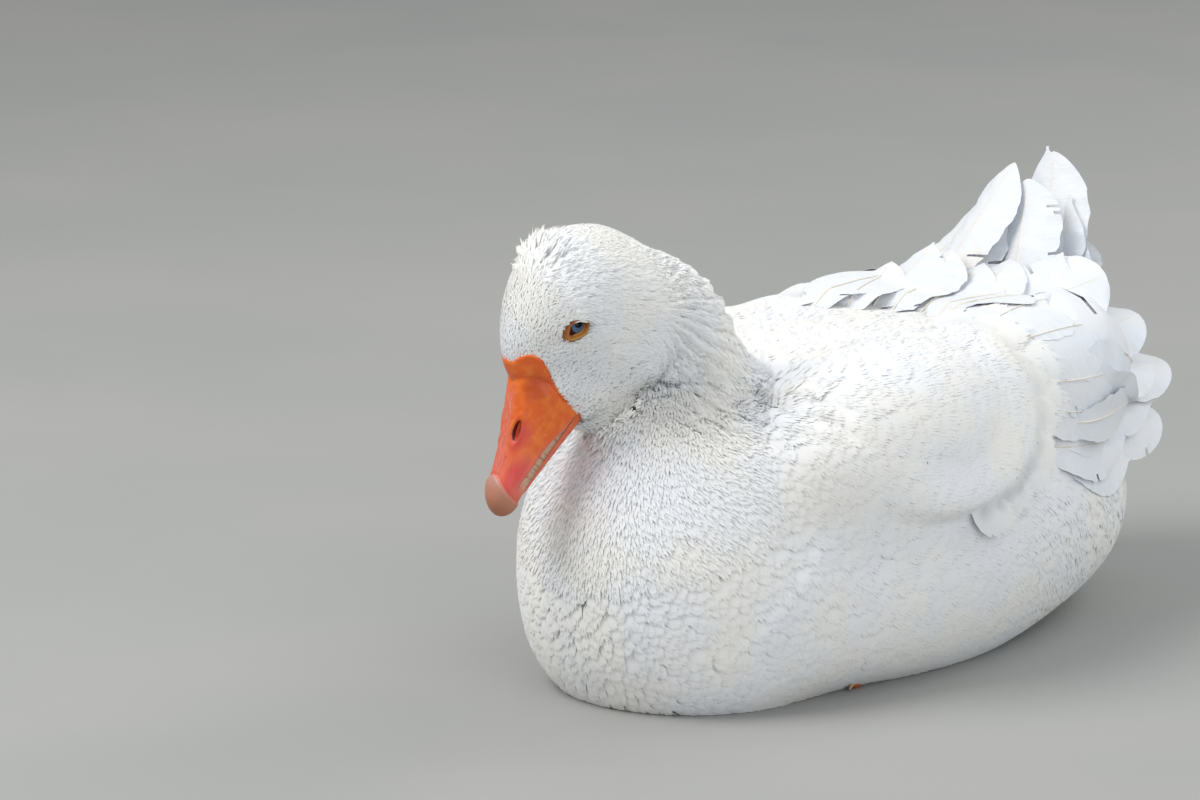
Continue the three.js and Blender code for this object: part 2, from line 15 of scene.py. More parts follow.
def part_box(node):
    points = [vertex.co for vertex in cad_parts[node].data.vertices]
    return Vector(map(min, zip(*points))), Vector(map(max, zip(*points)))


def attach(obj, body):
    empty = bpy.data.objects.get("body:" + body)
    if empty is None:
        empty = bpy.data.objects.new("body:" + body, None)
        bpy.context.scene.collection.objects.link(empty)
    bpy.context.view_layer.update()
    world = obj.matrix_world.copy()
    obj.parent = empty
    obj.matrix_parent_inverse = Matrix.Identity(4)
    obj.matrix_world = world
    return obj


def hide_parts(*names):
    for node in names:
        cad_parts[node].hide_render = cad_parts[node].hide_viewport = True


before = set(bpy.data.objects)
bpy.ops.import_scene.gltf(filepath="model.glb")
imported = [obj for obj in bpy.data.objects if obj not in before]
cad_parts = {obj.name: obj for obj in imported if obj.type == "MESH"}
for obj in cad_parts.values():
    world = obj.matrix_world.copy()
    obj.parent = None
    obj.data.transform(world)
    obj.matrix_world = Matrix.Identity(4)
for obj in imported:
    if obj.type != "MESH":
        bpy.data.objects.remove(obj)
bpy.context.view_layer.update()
chance = np.random.default_rng(11)
print("frame nodes:", sorted(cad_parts))

# %% [markdown]
# ## Where the head is
# Everything is worked out in millimetres in the solids' own frame, and turned into metres when a mesh is
# made. The head has axes of its own, because it is turned aside and tipped down: forward along the gape
# of the bill, left and up, called f, l and u for short. The two eyeballs of the frame show how far the
# whole model was moved to stand on its origin.

# %% Axes of the head
MM = 0.001
EYES = np.array([-16.5, -210.0, 204.0])
HEAD_TURN, HEAD_DROP = math.radians(20), math.radians(52)
EYE_SIDE = 17.5

FORWARD = np.array([-math.sin(HEAD_TURN) * math.cos(HEAD_DROP), -math.cos(HEAD_TURN) * math.cos(HEAD_DROP),
                    -math.sin(HEAD_DROP)])
LEFT = np.array([math.cos(HEAD_TURN), -math.sin(HEAD_TURN), 0.0])
UP = np.cross(FORWARD, LEFT)
HEAD_AXES = np.array([FORWARD, LEFT, UP])


def in_head(forward, left, up):
    """A point of the head, given along its own axes, in the body's frame."""
    forward, left, up = np.broadcast_arrays(forward, left, up)
    return EYES + forward[..., None] * FORWARD + left[..., None] * LEFT + up[..., None] * UP


def to_head(points):
    """The other way: points of the body's frame along the head's axes."""
    return (points - EYES) @ HEAD_AXES.T


eye_boxes = [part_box(f"eye_{side}") for side in ("left", "right")]
SHIFT = np.mean([corner for box in eye_boxes for corner in box], axis=0) / MM - EYES
print("the frame stands", np.round(SHIFT, 3), "mm from the shapes' own origin")

# %% [markdown]
# ## The body as distance fields
# A resting bird has no edges: breast, flanks, wings and neck flow into each other. A distance field suits
# that. Each muscle mass is an ellipsoid, the neck is a ball swept along a bent line, and a smooth minimum
# melts them together. The same shapes made the solids, so the feathers will end where the solids end.

# %% Ellipsoids, sweeps and a smooth blend
def ellipsoid(centre, radii, axes=None):
    """A field: about the distance from an ellipsoid's surface, and less than zero inside it."""
    centre, radii = np.float32(centre), np.float32(radii)

    def field(points):
        q = points - centre if axes is None else (points - centre) @ np.float32(axes).T
        q = q / radii
        near = np.sqrt((q * q).sum(-1))
        slope = np.sqrt(((q / radii) ** 2).sum(-1)) + 1e-6
        return near * (near - 1) / slope
    return field


def sweep(stations):
    """A field round a bent line; each station has its x, y, z and radius."""
    stations = np.float32(stations)

    def field(points):
        best = np.full(points.shape[:-1], 1e3, np.float32)
        for a, b in zip(stations[:-1], stations[1:]):
            along = b[:3] - a[:3]
            t = np.clip(((points - a[:3]) @ along) / (along @ along), 0, 1)
            gap = points - a[:3] - t[..., None] * along
            best = np.minimum(best, np.sqrt((gap * gap).sum(-1)) - a[3] - t * (b[3] - a[3]))
        return best
    return field


def blend(width, *shapes):
    """Melts shapes together; the width is how far from each other they start to merge."""
    def field(points):
        total = shapes[0](points)
        for shape in shapes[1:]:
            d = shape(points)
            h = np.maximum(width - np.abs(total - d), 0) / width
            total = np.minimum(total, d) - h * h * width / 4
        return total
    return field


def smooth_stations(stations, steps=4):
    """Catmull-Rom stations between the given ones."""
    s = [np.array(q, float) for q in stations]
    out = []
    for i in range(len(s) - 1):
        a, b, c, d = s[max(i - 1, 0)], s[i], s[i + 1], s[min(i + 2, len(s) - 1)]
        for t in np.arange(steps) / steps:
            out.append(b + 0.5 * t * (c - a + t * (2 * a - 5 * b + 4 * c - d + t * (3 * (b - c) + d - a))))
    return np.array(out + [s[-1]])


# %% The goose's masses
def both_sides(centre, radii):
    return [ellipsoid([side * centre[0], *centre[1:]], radii) for side in (1, -1)]


NECK = smooth_stations([  # x, y, z, radius
    [0, -128, 84, 74], [0, -146, 104, 50], [0, -134, 134, 37], [0, -123, 164, 31],
    [0, -138, 192, 31], [-5, -166, 206, 32], [*in_head(-16, 0, -4), 27],
])
trunk_shape = blend(26, ellipsoid([0, 0, 80], [110, 194, 92]), ellipsoid([0, -122, 46], [87, 84, 74]),
                    ellipsoid([0, 128, 56], [86, 88, 67]), sweep([[0, 108, 112, 54], [0, 166, 150, 27]]),
                    *both_sides([64, 2, 56], [49, 146, 62]))
wing_shapes = [blend(18, cap, rear) for cap, rear in zip(both_sides([70, -42, 122], [50, 98, 55]),
                                                         both_sides([53, 82, 130], [45, 98, 43]))]
head_shape = blend(10, ellipsoid(in_head(-13, 0, -2), [38, 23.5, 27], HEAD_AXES),
                   ellipsoid(in_head(9, 0, -10), [29, 17, 29], HEAD_AXES),
                   *[ellipsoid(in_head(-1, side * 6, -29), [34, 16, 28], HEAD_AXES) for side in (1, -1)],
                   ellipsoid(in_head(14, 0, -41), [25, 11.5, 15], HEAD_AXES))
goose_shape = blend(22, blend(32, blend(20, trunk_shape, *wing_shapes), sweep(NECK)), head_shape)
print("the neck runs through", len(NECK), "stations")

# %% [markdown]
# ## One sampled field for everything
# The skin, its folds and every feather ask the same two things of a point: how far is the surface of the
# coat, and which way is out? Working the blend out anew for each of a million feather points would take
# minutes, so it is sampled once on a grid. Between the grid's corners it is read off in proportion, as a
# chart is.

# %% Sample the shape on a grid
CELL = 2.5
GRID_LOW = np.array([-147.0, -285.0, -14.0])
GRID_COUNT = (118, 216, 112)


def sampled(shape, low, cell, count):
    """The shape's field at every corner of a grid that starts at low."""
    xs, ys, zs = [np.float32(low[i] + cell * np.arange(count[i])) for i in range(3)]
    y, z = np.meshgrid(ys, zs, indexing="ij")
    return np.stack([shape(np.stack([np.full_like(y, x), y, z], -1)) for x in xs])


goose_values = sampled(goose_shape, GRID_LOW, CELL, GRID_COUNT)
goose_chart = np.stack([goose_values, *np.gradient(goose_values, CELL)], -1).astype(np.float32)
print("sampled", goose_values.size, "places in the grid")


# %% Read the chart, and bring points to a given height on the coat
def look_up(points):
    """Distance from the surface of the coat, and the direction out of it, at each point."""
    top = np.array(GRID_COUNT) - 1.001
    place = np.clip((points - GRID_LOW) / CELL, 0, top)
    corner = place.astype(np.int64)
    part = (place - corner).astype(np.float32)
    steps = (GRID_COUNT[1] * GRID_COUNT[2], GRID_COUNT[2], 1)
    flat = goose_chart.reshape(-1, 4)
    first = corner @ np.array(steps)
    total = np.zeros((len(points), 4), np.float32)
    for a in (0, 1):
        for b in (0, 1):
            for c in (0, 1):
                share = np.ones(len(points), np.float32)
                for axis, one in enumerate((a, b, c)):
                    share = share * (part[:, axis] if one else 1 - part[:, axis])
                total += flat[first + a * steps[0] + b * steps[1] + c * steps[2]] * share[:, None]
    return total[:, 0], total[:, 1:]


def drape(points, height, passes=3):
    """Moves points straight in or out until they lie at their height above the coat's surface."""
    points = np.array(points, float)
    for _ in range(passes):
        d, out = look_up(points)
        points -= out * ((d - height) / np.maximum((out * out).sum(-1), 0.05))[:, None]
    return points


def unit(vectors):
    return vectors / np.maximum(np.linalg.norm(vectors, axis=-1, keepdims=True), 1e-9)


def outward(points):
    return unit(look_up(points)[1])


def smooth_step(low, high, x):
    """0 at low, 1 at high, smooth between; falling where low is the higher one."""
    t = np.clip((x - low) / (high - low), 0, 1)
    return t * t * (3 - 2 * t)


# %% [markdown]
# ## Folds that skin and coat share
# A goose's neck is pleated: its feathers stand in furrows, deepest where the neck bends behind the
# cheeks. A crease runs back from the eye, the cheek bulges beside the corner of the bill, and a folded
# wing's shoulder ends in a soft ledge. All of these are written as one height that is added to whatever
# is draped, so the skin and the feathers over it fold together.

# %% Height of the folds
FAN_FROM, FAN_PITCH = (-190.0, 214.0), math.radians(7)


def neck_furrows(points):
    """Ridges that fan out behind the cheek, 0 in a furrow and 1 on a ridge, each broken into a few locks."""
    y, z = points[:, 1] - FAN_FROM[0], points[:, 2] - FAN_FROM[1]
    turn, reach = np.arctan2(z, y), np.hypot(y, z)
    waver = 0.35 * np.sin(reach * 0.16 + 2 * np.sin(turn * 5)) + 0.2 * np.sin(points[:, 0] * 0.2)
    ridge = np.sqrt(np.abs(np.sin(turn * math.pi / FAN_PITCH + waver)))
    lock = 0.5 + 0.5 * np.sin(reach * 0.42 + np.floor(turn / FAN_PITCH) * 2.1)
    return ridge * (0.75 + 0.25 * lock)


def near_line(points, start, end, reach):
    """1 on the line from start to end, fading to 0 at reach from it."""
    start, end = np.array(start), np.array(end)
    t = np.clip(((points - start) @ (end - start)) / ((end - start) @ (end - start)), 0, 1)
    gap = np.linalg.norm(points - start - t[:, None] * (end - start), axis=-1)
    return np.clip(1 - gap / reach, 0, 1) ** 2 * (3 - 2 * np.clip(1 - gap / reach, 0, 1))


def wing_lobe(points):
    """1 along the rear and lower edge of a folded wing's shoulder, less towards the middle of it."""
    drop = (points[:, 2] - 150) / np.where(points[:, 2] < 150, 55, 95)
    return np.hypot((points[:, 1] + 45) / 88, drop)


# degrees round the bill from its corner to its ridge, and millimetres forward of the eye
BARE_EDGE = [(0, 34.5), (8, 33), (18, 31.3), (26, 29.8), (32, 27.3), (37, 24.9), (42, 22.9), (48, 22.8),
             (55, 24.3), (61, 26), (69, 28.3), (80, 31.2), (90, 30.8)]


def past_bare_edge(points):
    """Millimetres in front of the line where the face's feathers end and the bill's bare skin begins."""
    f, l, u = to_head(points).T
    way_round = np.arctan2(np.maximum((u + 34.5) / 38.7, 0) ** 1.11, (np.abs(l) / 15.5) ** 1.25)
    return f - np.interp(np.degrees(way_round), *zip(*BARE_EDGE))


FURROW_DEPTH, CREASE_DEPTH, LORE_DEPTH = 4.4, 1.0, 0.9
JOWL_HEIGHT, LEDGE_HEIGHT = 3.4, 5.5


def folds(points):
    """Height of all the folds together, in millimetres, at each point."""
    f, l, u = to_head(points).T
    side = np.abs(l)
    neck_zone = smooth_step(-100, -112, points[:, 1]) * smooth_step(132, 150, points[:, 2])
    neck_zone = neck_zone * smooth_step(-176, -152, points[:, 1])
    height = -FURROW_DEPTH * neck_zone * (1 - neck_furrows(points))
    eye_crease = [near_line(points, in_head(-8, s * 25, -3.5), in_head(-24, s * 24, -3), 5) for s in (1, -1)]
    height = height - CREASE_DEPTH * (eye_crease[0] + eye_crease[1])
    lore = np.exp(-((f - 12) / 6) ** 2 - ((u - 1) / 5) ** 2) * smooth_step(10, 16, side)
    lobe = wing_lobe(points)
    ledge = smooth_step(0.5, 0.92, lobe) * smooth_step(1.12, 0.93, lobe)
    ledge = ledge * smooth_step(42, 62, np.abs(points[:, 0]))
    jowl = smooth_step(1.6, -1.6, past_bare_edge(points)) * smooth_step(14, 31, f) * smooth_step(-4, -24, u)
    height = height + JOWL_HEIGHT * jowl * smooth_step(-48, -38, u) * smooth_step(5, 11, side)
    return height - LORE_DEPTH * lore + LEDGE_HEIGHT * ledge * smooth_step(-120, -60, points[:, 1])


sample_fold = folds(in_head(np.array([-16.0]), 24.5, -3.2))
print("depth of the crease behind the eye:", np.round(sample_fold, 2), "mm")

# %% [markdown]
# ## One skin
# Under the plumage lies one closed skin, from the edge of the bill to the tail. It could be sculpted, or
# lofted in rings, but rings don't cross a wing or a cheek well. Surface nets follow any field: each grid
# cell that the surface crosses gets one vertex, and each crossed grid edge one square. The skin lies
# deeper where the coat is deeper: a millimetre or two on the face, about half a centimetre on the body.

# %% Surface nets
def net(values, low, cell):
    """Vertices and four-sided faces of the surface where the values pass through zero."""
    inside = values < 0
    shape = np.array(values.shape) - 1
    total = np.zeros((*shape, 3))
    hits = np.zeros(shape)
    edges = []
    for axis in range(3):
        others = [i for i in range(3) if i != axis]
        first = np.take(values, range(shape[axis]), axis)
        second = np.take(values, range(1, shape[axis] + 1), axis)
        crossed = (first < 0) != (second < 0)
        t = np.where(crossed, first / np.where(crossed, first - second, 1), 0)
        edges.append(crossed)
        for a in (0, 1):
            for b in (0, 1):
                cut = [slice(None)] * 3
                cut[others[0]] = slice(a, a + shape[others[0]])
                cut[others[1]] = slice(b, b + shape[others[1]])
                here = crossed[tuple(cut)]
                hits += here
                total[..., axis] += np.where(here, t[tuple(cut)], 0)
                total[..., others[0]] += here * a
                total[..., others[1]] += here * b
    # each crossed cell gets one vertex, at the middle of the crossings on its edges
    used = hits > 0
    number = np.full(shape, -1)
    number[used] = np.arange(used.sum())
    corner = np.argwhere(used)
    vertices = low + cell * (corner + total[used] / hits[used][:, None])
    # each crossed edge joins the vertices of the four cells round it
    faces = []
    for axis, crossed in enumerate(edges):
        b, c = (axis + 1) % 3, (axis + 2) % 3
        at = np.argwhere(crossed)
        at = at[(at[:, b] > 0) & (at[:, c] > 0) & (at[:, b] < shape[b]) & (at[:, c] < shape[c])]
        turns = inside[tuple(at.T)]
        ring = []
        for step_b, step_c in ((1, 1), (0, 1), (0, 0), (1, 0)):
            spot = at.copy()
            spot[:, b] -= step_b
            spot[:, c] -= step_c
            ring.append(number[tuple(spot.T)])
        ring = np.stack(ring, -1)
        faces.append(np.where(turns[:, None], ring, ring[:, ::-1]))
    return vertices, np.concatenate(faces)


# %% Where the coat is shallow and where it is deep
HEAD_COAT, NECK_COAT, BODY_COAT = 1.6, 3.8, 5.5
NEAR_SURFACE = 22
neck_shape = sweep(NECK)


def zone_shares(points):
    """How much a place belongs to the head and to the neck, from 0 to 1; the rest is body."""
    points = np.float32(points)
    head, neck = head_shape(points), neck_shape(points)
    trunk = np.minimum(trunk_shape(points), np.minimum(*[wing(points) for wing in wing_shapes]))
    of_head = smooth_step(-6, 6, np.minimum(neck, trunk) - head)
    of_neck = smooth_step(-12, 12, trunk - neck) * (1 - of_head)
    return of_head, of_neck


def coat_depth(points):
    """How far the skin lies under the surface of the plumage, in millimetres."""
    of_head, of_neck = zone_shares(points)
    return HEAD_COAT * of_head + NECK_COAT * of_neck + BODY_COAT * (1 - of_head - of_neck)


def folded_outward(points):
    """The way out of the coat with its furrows and ledges, for shading."""
    step, here = 0.5, folds(points)
    slopes = [(folds(points + step * axis) - here) / step for axis in np.eye(3)]
    return unit(outward(points) - np.stack(slopes, -1))


band = np.abs(goose_values) < NEAR_SURFACE
depth_values = np.full(GRID_COUNT, BODY_COAT, np.float32)
depth_values[band] = coat_depth(GRID_LOW + CELL * np.argwhere(band))
skin_points, skin_faces = net(goose_values + depth_values, GRID_LOW, CELL)
print("skin:", len(skin_points), "vertices,", len(skin_faces), "squares")

# %% [markdown]
# ## From numbers to meshes
# Every piece is worked out as arrays of points and faces, because nearly forty thousand feathers are
# quicker to lay by arithmetic than by operators. One helper turns such arrays into a Blender mesh. It
# also takes places on a UV map, values that the materials read by name, and softened normals for the
# plumage.

# %% Mesh helper
FLOOR_GAP = 0.3


def make_piece(name, points, faces, values=None, maps=None, normals=None):
    """A mesh object. faces holds rows of 4 corners, with -1 last where a face has only 3."""
    mesh = bpy.data.meshes.new(name)
    used = faces >= 0
    corners = faces[used]
    starts = np.concatenate([[0], np.cumsum(used.sum(1))[:-1]])
    mesh.vertices.add(len(points))
    mesh.vertices.foreach_set("co", ((points + SHIFT) * MM).astype(np.float32).ravel())
    mesh.loops.add(len(corners))
    mesh.polygons.add(len(faces))
    mesh.polygons.foreach_set("loop_start", starts.astype(np.int32))
    mesh.polygons.foreach_set("vertices", corners.astype(np.int32))
    mesh.update(calc_edges=True)
    for key, vectors in (values or {}).items():
        store = mesh.attributes.new(key, "FLOAT_VECTOR", "POINT")
        store.data.foreach_set("vector", vectors.astype(np.float32).ravel())
    for key, places in (maps or {}).items():
        layer = mesh.uv_layers.new(name=key)
        layer.uv.foreach_set("vector", places[corners].astype(np.float32).ravel())
    if normals is not None:
        mesh.normals_split_custom_set_from_vertices(normals.astype(np.float32))
    piece = bpy.data.objects.new(name, mesh)
    bpy.context.scene.collection.objects.link(piece)
    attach(piece, "root")
    return piece


def grid_faces(rows, columns, closed=False, first=0):
    """Squares of a sheet of points laid out row by row; closed joins its last column to its first."""
    squares_across = columns if closed else columns - 1
    row, column = np.meshgrid(np.arange(rows - 1), np.arange(squares_across), indexing="ij")
    beside = (column + 1) % columns
    here, next_row = row * columns, (row + 1) * columns
    corners = [here + column, here + beside, next_row + beside, next_row + column]
    return first + np.stack(corners, -1).reshape(-1, 4)


def full_turn(count):
    """Evenly spaced angles, once round."""
    return np.linspace(0, 2 * math.pi, count, endpoint=False)


SIDES = (("left", 1), ("right", -1))


# %% [markdown]
# ## Writing materials as sums
# A node tree for patchy colour is mostly arithmetic, so it is written as arithmetic: a Wire wraps one
# socket, and adding or multiplying wires adds Math nodes. Colours are mixed by a Mix node, since a Math
# node would turn them grey. Every other node comes from one method.

# %% Wires
class Wire:
    """One output socket of a shader tree, with Python's own arithmetic on it."""

    def __init__(self, tree, socket=None):
        self.tree = tree
        self.socket = socket

    def node(self, kind, settings=None, sockets=None, out=0):
        """Any node: its settings are set first, then the values or wires of its sockets."""
        made = self.tree.nodes.new(kind)
        for key, value in (settings or {}).items():
            setattr(made, key, value)
        for key, value in (sockets or {}).items():
            if isinstance(value, Wire):
                self.tree.links.new(value.socket, made.inputs[key])
            else:
                made.inputs[key].default_value = value
        return Wire(self.tree, made.outputs[out])

    def math(self, operation, *terms):
        return self.node("ShaderNodeMath", {"operation": operation}, dict(enumerate(terms)))

    def __add__(self, other):
        return self.math("ADD", self, other)

    def __sub__(self, other):
        return self.math("SUBTRACT", self, other)

    def __rsub__(self, other):
        return self.math("SUBTRACT", other, self)

    def __mul__(self, other):
        return self.math("MULTIPLY", self, other)

    def __truediv__(self, other):
        return self.math("DIVIDE", self, other)

    def __pow__(self, other):
        return self.math("POWER", self, other)

    __radd__ = __add__
    __rmul__ = __mul__

    def step(self, low, high):
        """0 below low, 1 above high, smooth between; falling where low is the higher one."""
        settings = {"interpolation_type": "SMOOTHSTEP"}
        if low > high:
            return 1 - self.step(high, low)
        return self.node("ShaderNodeMapRange", settings, {"Value": self, "From Min": low, "From Max": high})

    def mix(self, first, second):
        """This wire's share of the way from one colour to the other."""
        ends = {6: first, 7: second}
        ends = {key: end if isinstance(end, Wire) else (*end, 1) for key, end in ends.items()}
        return self.node("ShaderNodeMix", {"data_type": "RGBA"}, {0: self, **ends}, out=2)

    def noise(self, place, scale, detail=3, stretch=None):
        if stretch is not None:
            place = self.node("ShaderNodeMapping", None, {"Vector": place, "Scale": stretch})
        return self.node("ShaderNodeTexNoise", None, {"Vector": place, "Scale": scale, "Detail": detail})

    def bump(self, height, distance):
        """A Bump node: distance is in millimetres for a height of 1."""
        return self.node("ShaderNodeBump", None, {"Height": height, "Distance": distance * MM})

    def own_place(self):
        """The shaded point's place in its object's space, in metres."""
        return self.node("ShaderNodeTexCoord", out=3)

    def stored(self, name):
        """The vector that the mesh stores under this name."""
        return self.node("ShaderNodeAttribute", {"attribute_name": name}, out=1)

    def parts(self):
        """The three numbers of a vector."""
        split = self.node("ShaderNodeSeparateXYZ", None, {0: self}).socket.node
        return [Wire(self.tree, socket) for socket in split.outputs]


# %% Start and finish a material
def material(name, build, roughness, **constants):
    """build(wires) returns what feeds the surface: Base Color, and perhaps Roughness and Normal."""
    made = bpy.data.materials.new(name)
    made.use_nodes = True
    surface = made.node_tree.nodes["Principled BSDF"]
    surface.inputs["Roughness"].default_value = roughness
    for key, value in constants.items():
        surface.inputs[key.replace("_", " ")].default_value = value
    for key, wire in build(Wire(made.node_tree)).items():
        made.node_tree.links.new(wire.socket, surface.inputs[key])
    print(f"material {name}: {len(made.node_tree.nodes)} nodes")
    return made


def finish_piece(piece, finish, slot, *nodes):
    """Gives a piece its material, and hides the frame's nodes that it stands for. slot is not used."""
    piece.data.materials.append(finish)
    if nodes:
        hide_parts(*nodes)
    triangles = sum(len(face.vertices) - 2 for face in piece.data.polygons)
    print(f"{piece.name}: {triangles} triangles")
    return piece


# %% [markdown]
# ## The white of the plumage
# White feathers are not painted: their barbs scatter all light, a little warm where dust and preening oil
# lie and a little blue where they are thin. So the colour stays near white, with a faint cloudiness. A
# weak sheen gives the soft edge of down.

# %% Plumage finish
WARM_WHITE, COOL_WHITE = (0.93, 0.92, 0.88), (0.88, 0.90, 0.93)


def white_plumage(w):
    place = w.own_place()
    cloud = w.noise(place, 22).step(0.35, 0.65)
    speckle = w.noise(place, 900, 1)
    return {"Base Color": cloud.mix(COOL_WHITE, WARM_WHITE), "Normal": w.bump(speckle, 0.12)}


down = material("white down", white_plumage, 0.85, Sheen_Weight=0.25, Sheen_Roughness=0.5,
                Specular_IOR_Level=0.25)

# %% [markdown]
# ## Laying the skin
# The grid's squares are fine enough for a body, but too coarse for the face. A subdivision modifier would
# refine the whole skin, so only the squares near the eyes are split, each in four. The openings of the
# eyes are cut out, and every point then sinks to the depth of the coat at its place.

# %% Lay the skin, finer round the face
OPENING_MIDDLE = (0.7, -1.2)
OPENING_HALF = (4.9, 3.8)
OPENING_TILT = math.radians(6)


def almond(f, u):
    """1 on the edge of the eye's opening, less inside it."""
    f, u = f - OPENING_MIDDLE[0], u - OPENING_MIDDLE[1]
    cos, sin = math.cos(OPENING_TILT), math.sin(OPENING_TILT)
    return np.hypot((f * cos + u * sin) / OPENING_HALF[0] / 1.08, (u * cos - f * sin) / OPENING_HALF[1])


def refined(vertices, faces, chosen):
    """Splits the chosen squares in four, and mends the seam to their larger neighbours."""
    mesh = bpy.data.meshes.new("refining")
    mesh.from_pydata(vertices.tolist(), [], faces.tolist())
    bm = bmesh.new()
    bm.from_mesh(mesh)
    bm.faces.ensure_lookup_table()
    edges = list({edge for index in chosen for edge in bm.faces[index].edges})
    bmesh.ops.subdivide_edges(bm, edges=edges, cuts=1, use_grid_fill=True)
    bmesh.ops.triangulate(bm, faces=[face for face in bm.faces if len(face.verts) > 4])
    bm.to_mesh(mesh)
    bm.free()
    points = np.array([v.co for v in mesh.vertices])
    corners = np.full((len(mesh.polygons), 4), -1)
    for row, face in enumerate(mesh.polygons):
        corners[row, :len(face.vertices)] = face.vertices
    bpy.data.meshes.remove(mesh)
    return points, corners


FINE_REACH = 46
face_distance = np.linalg.norm(skin_points[skin_faces].mean(1) - EYES, axis=1)
skin_points, skin_faces = refined(skin_points, skin_faces, np.flatnonzero(face_distance < FINE_REACH))
f, l, u = to_head(skin_points[skin_faces].mean(1)).T
skin_faces = skin_faces[~((np.abs(l) > 12) & (almond(f, u) < 1.38))]
skin_points = drape(skin_points, folds(skin_points) - coat_depth(skin_points))
skin_points[:, 2] = np.maximum(skin_points[:, 2], FLOOR_GAP)
skin = make_piece("skin", skin_points, skin_faces)
finish_piece(skin, down, "plumage", "head", "neck", "trunk", "wing_left", "wing_right", "tail")

# %% [markdown]
# ## The bill
# A goose's bill is a horn-tipped sheath of soft skin: two lobes run up beside the point of forehead
# feathers, the ridge is worn and scratched, slit nostrils open halfway along, and comb-like plates show
# where the edges don't quite close. It is a loft: rings across the bill, along the same profile curves as
# the solid. Then each point is pushed along its normal by the height of these details, so that they are
# real shape.

# %% Profiles of the bill
# pairs of a place along the bill and a height, half width or depth there
CULMEN = [(12, 3), (29, 3), (45, -5.5), (62, -15.5), (78, -22), (84, -23.4), (96, -25)]
UPPER_WIDTH = [(12, 15), (32, 16), (52, 13.4), (72, 12.2), (84, 10.8), (96, 9.6)]
TOMIUM = [(12, 0), (60, 0), (84, 0.5), (92, 3), (96, 4)]
LOWER_DEPTH = [(12, 9), (32, 8.5), (60, 6), (84, 4.2), (90, 3)]
GAPE_DROP = 34.5
BILL_FROM, BILL_REACH, LOWER_REACH = 12.0, 96.0, 90.0
TIP_ROUNDING, TIP_HEIGHT = 13.0, -34.6
LOWER_INSET, CULMEN_OVER, LIP_ROUND = 1.6, 1.2, 1.2


def eased(pairs, x, reach=2.5):
    """The profile's value at x, with its corners rounded over reach."""
    at, value = zip(*pairs)
    return np.mean([np.interp(x + reach * k / 2, at, value) for k in (-2, -1, 0, 1, 2)], axis=0)


def tip_share(f, reach):
    """1 along the bill, falling to 0 at its tip as a quarter circle does."""
    return np.sqrt(np.clip(1 - (np.maximum(f - reach + TIP_ROUNDING, 0) / TIP_ROUNDING) ** 2, 0, 1))


def upper_ring(f, c, d):
    """Sideways and upward place on the upper bill's ring at f, for the cosine and sine of the way round."""
    share = tip_share(f, BILL_REACH)
    width = eased(UPPER_WIDTH, f, 1.5) * share
    low = -GAPE_DROP - eased(TOMIUM, f, 1.5)
    low = TIP_HEIGHT + (low - TIP_HEIGHT) * share
    top = TIP_HEIGHT + (eased(CULMEN, f) + CULMEN_OVER - TIP_HEIGHT) * share
    left = np.where(d > 0, width * np.sign(c) * np.abs(c) ** 0.8, width * c)
    above = low + (top - low) * np.maximum(d, 0) ** 0.9
    below = low + LIP_ROUND * (1 + d) * share - LIP_ROUND * share
    return left, np.where(d > 0, above, below)


def lower_ring(f, c, d):
    share = tip_share(f, LOWER_REACH)
    width = (eased(UPPER_WIDTH, f) - LOWER_INSET) * share
    return width * c, -GAPE_DROP - 0.45 + np.where(d < 0, eased(LOWER_DEPTH, f) * d * share, 0.2 * d)


def ball(f, l, u, centre, reach):
    """1 at the centre, fading to 0 away from it; reach gives the size along each axis of the head."""
    return np.exp(-sum(((x - m) / r) ** 2 for x, m, r in zip((f, l, u), centre, reach)))


# %% Details of the upper bill, as heights in millimetres
NOSTRIL = (57.0, -14.2)
NOSTRIL_HALF = (4.7, 1.25)
NOSTRIL_SLOPE, NOSTRIL_DEPTH = -0.40, 3.2
LAMELLA_PITCH = 2.9
GAPE_LINE, GAPE_WIDENS = -33.5, 3.4
NAIL_FROM, NAIL_BEND = 80.5, 0.06


def nostril_distance(f, u):
    """1 on the rim of the slit, less inside it."""
    return np.hypot((f - NOSTRIL[0]) / NOSTRIL_HALF[0],
                    (u - NOSTRIL[1] - NOSTRIL_SLOPE * (f - NOSTRIL[0])) / NOSTRIL_HALF[1])


def nail_distance(f, l):
    """Millimetres past the line where the nail starts."""
    return f - NAIL_FROM - NAIL_BEND * l * l


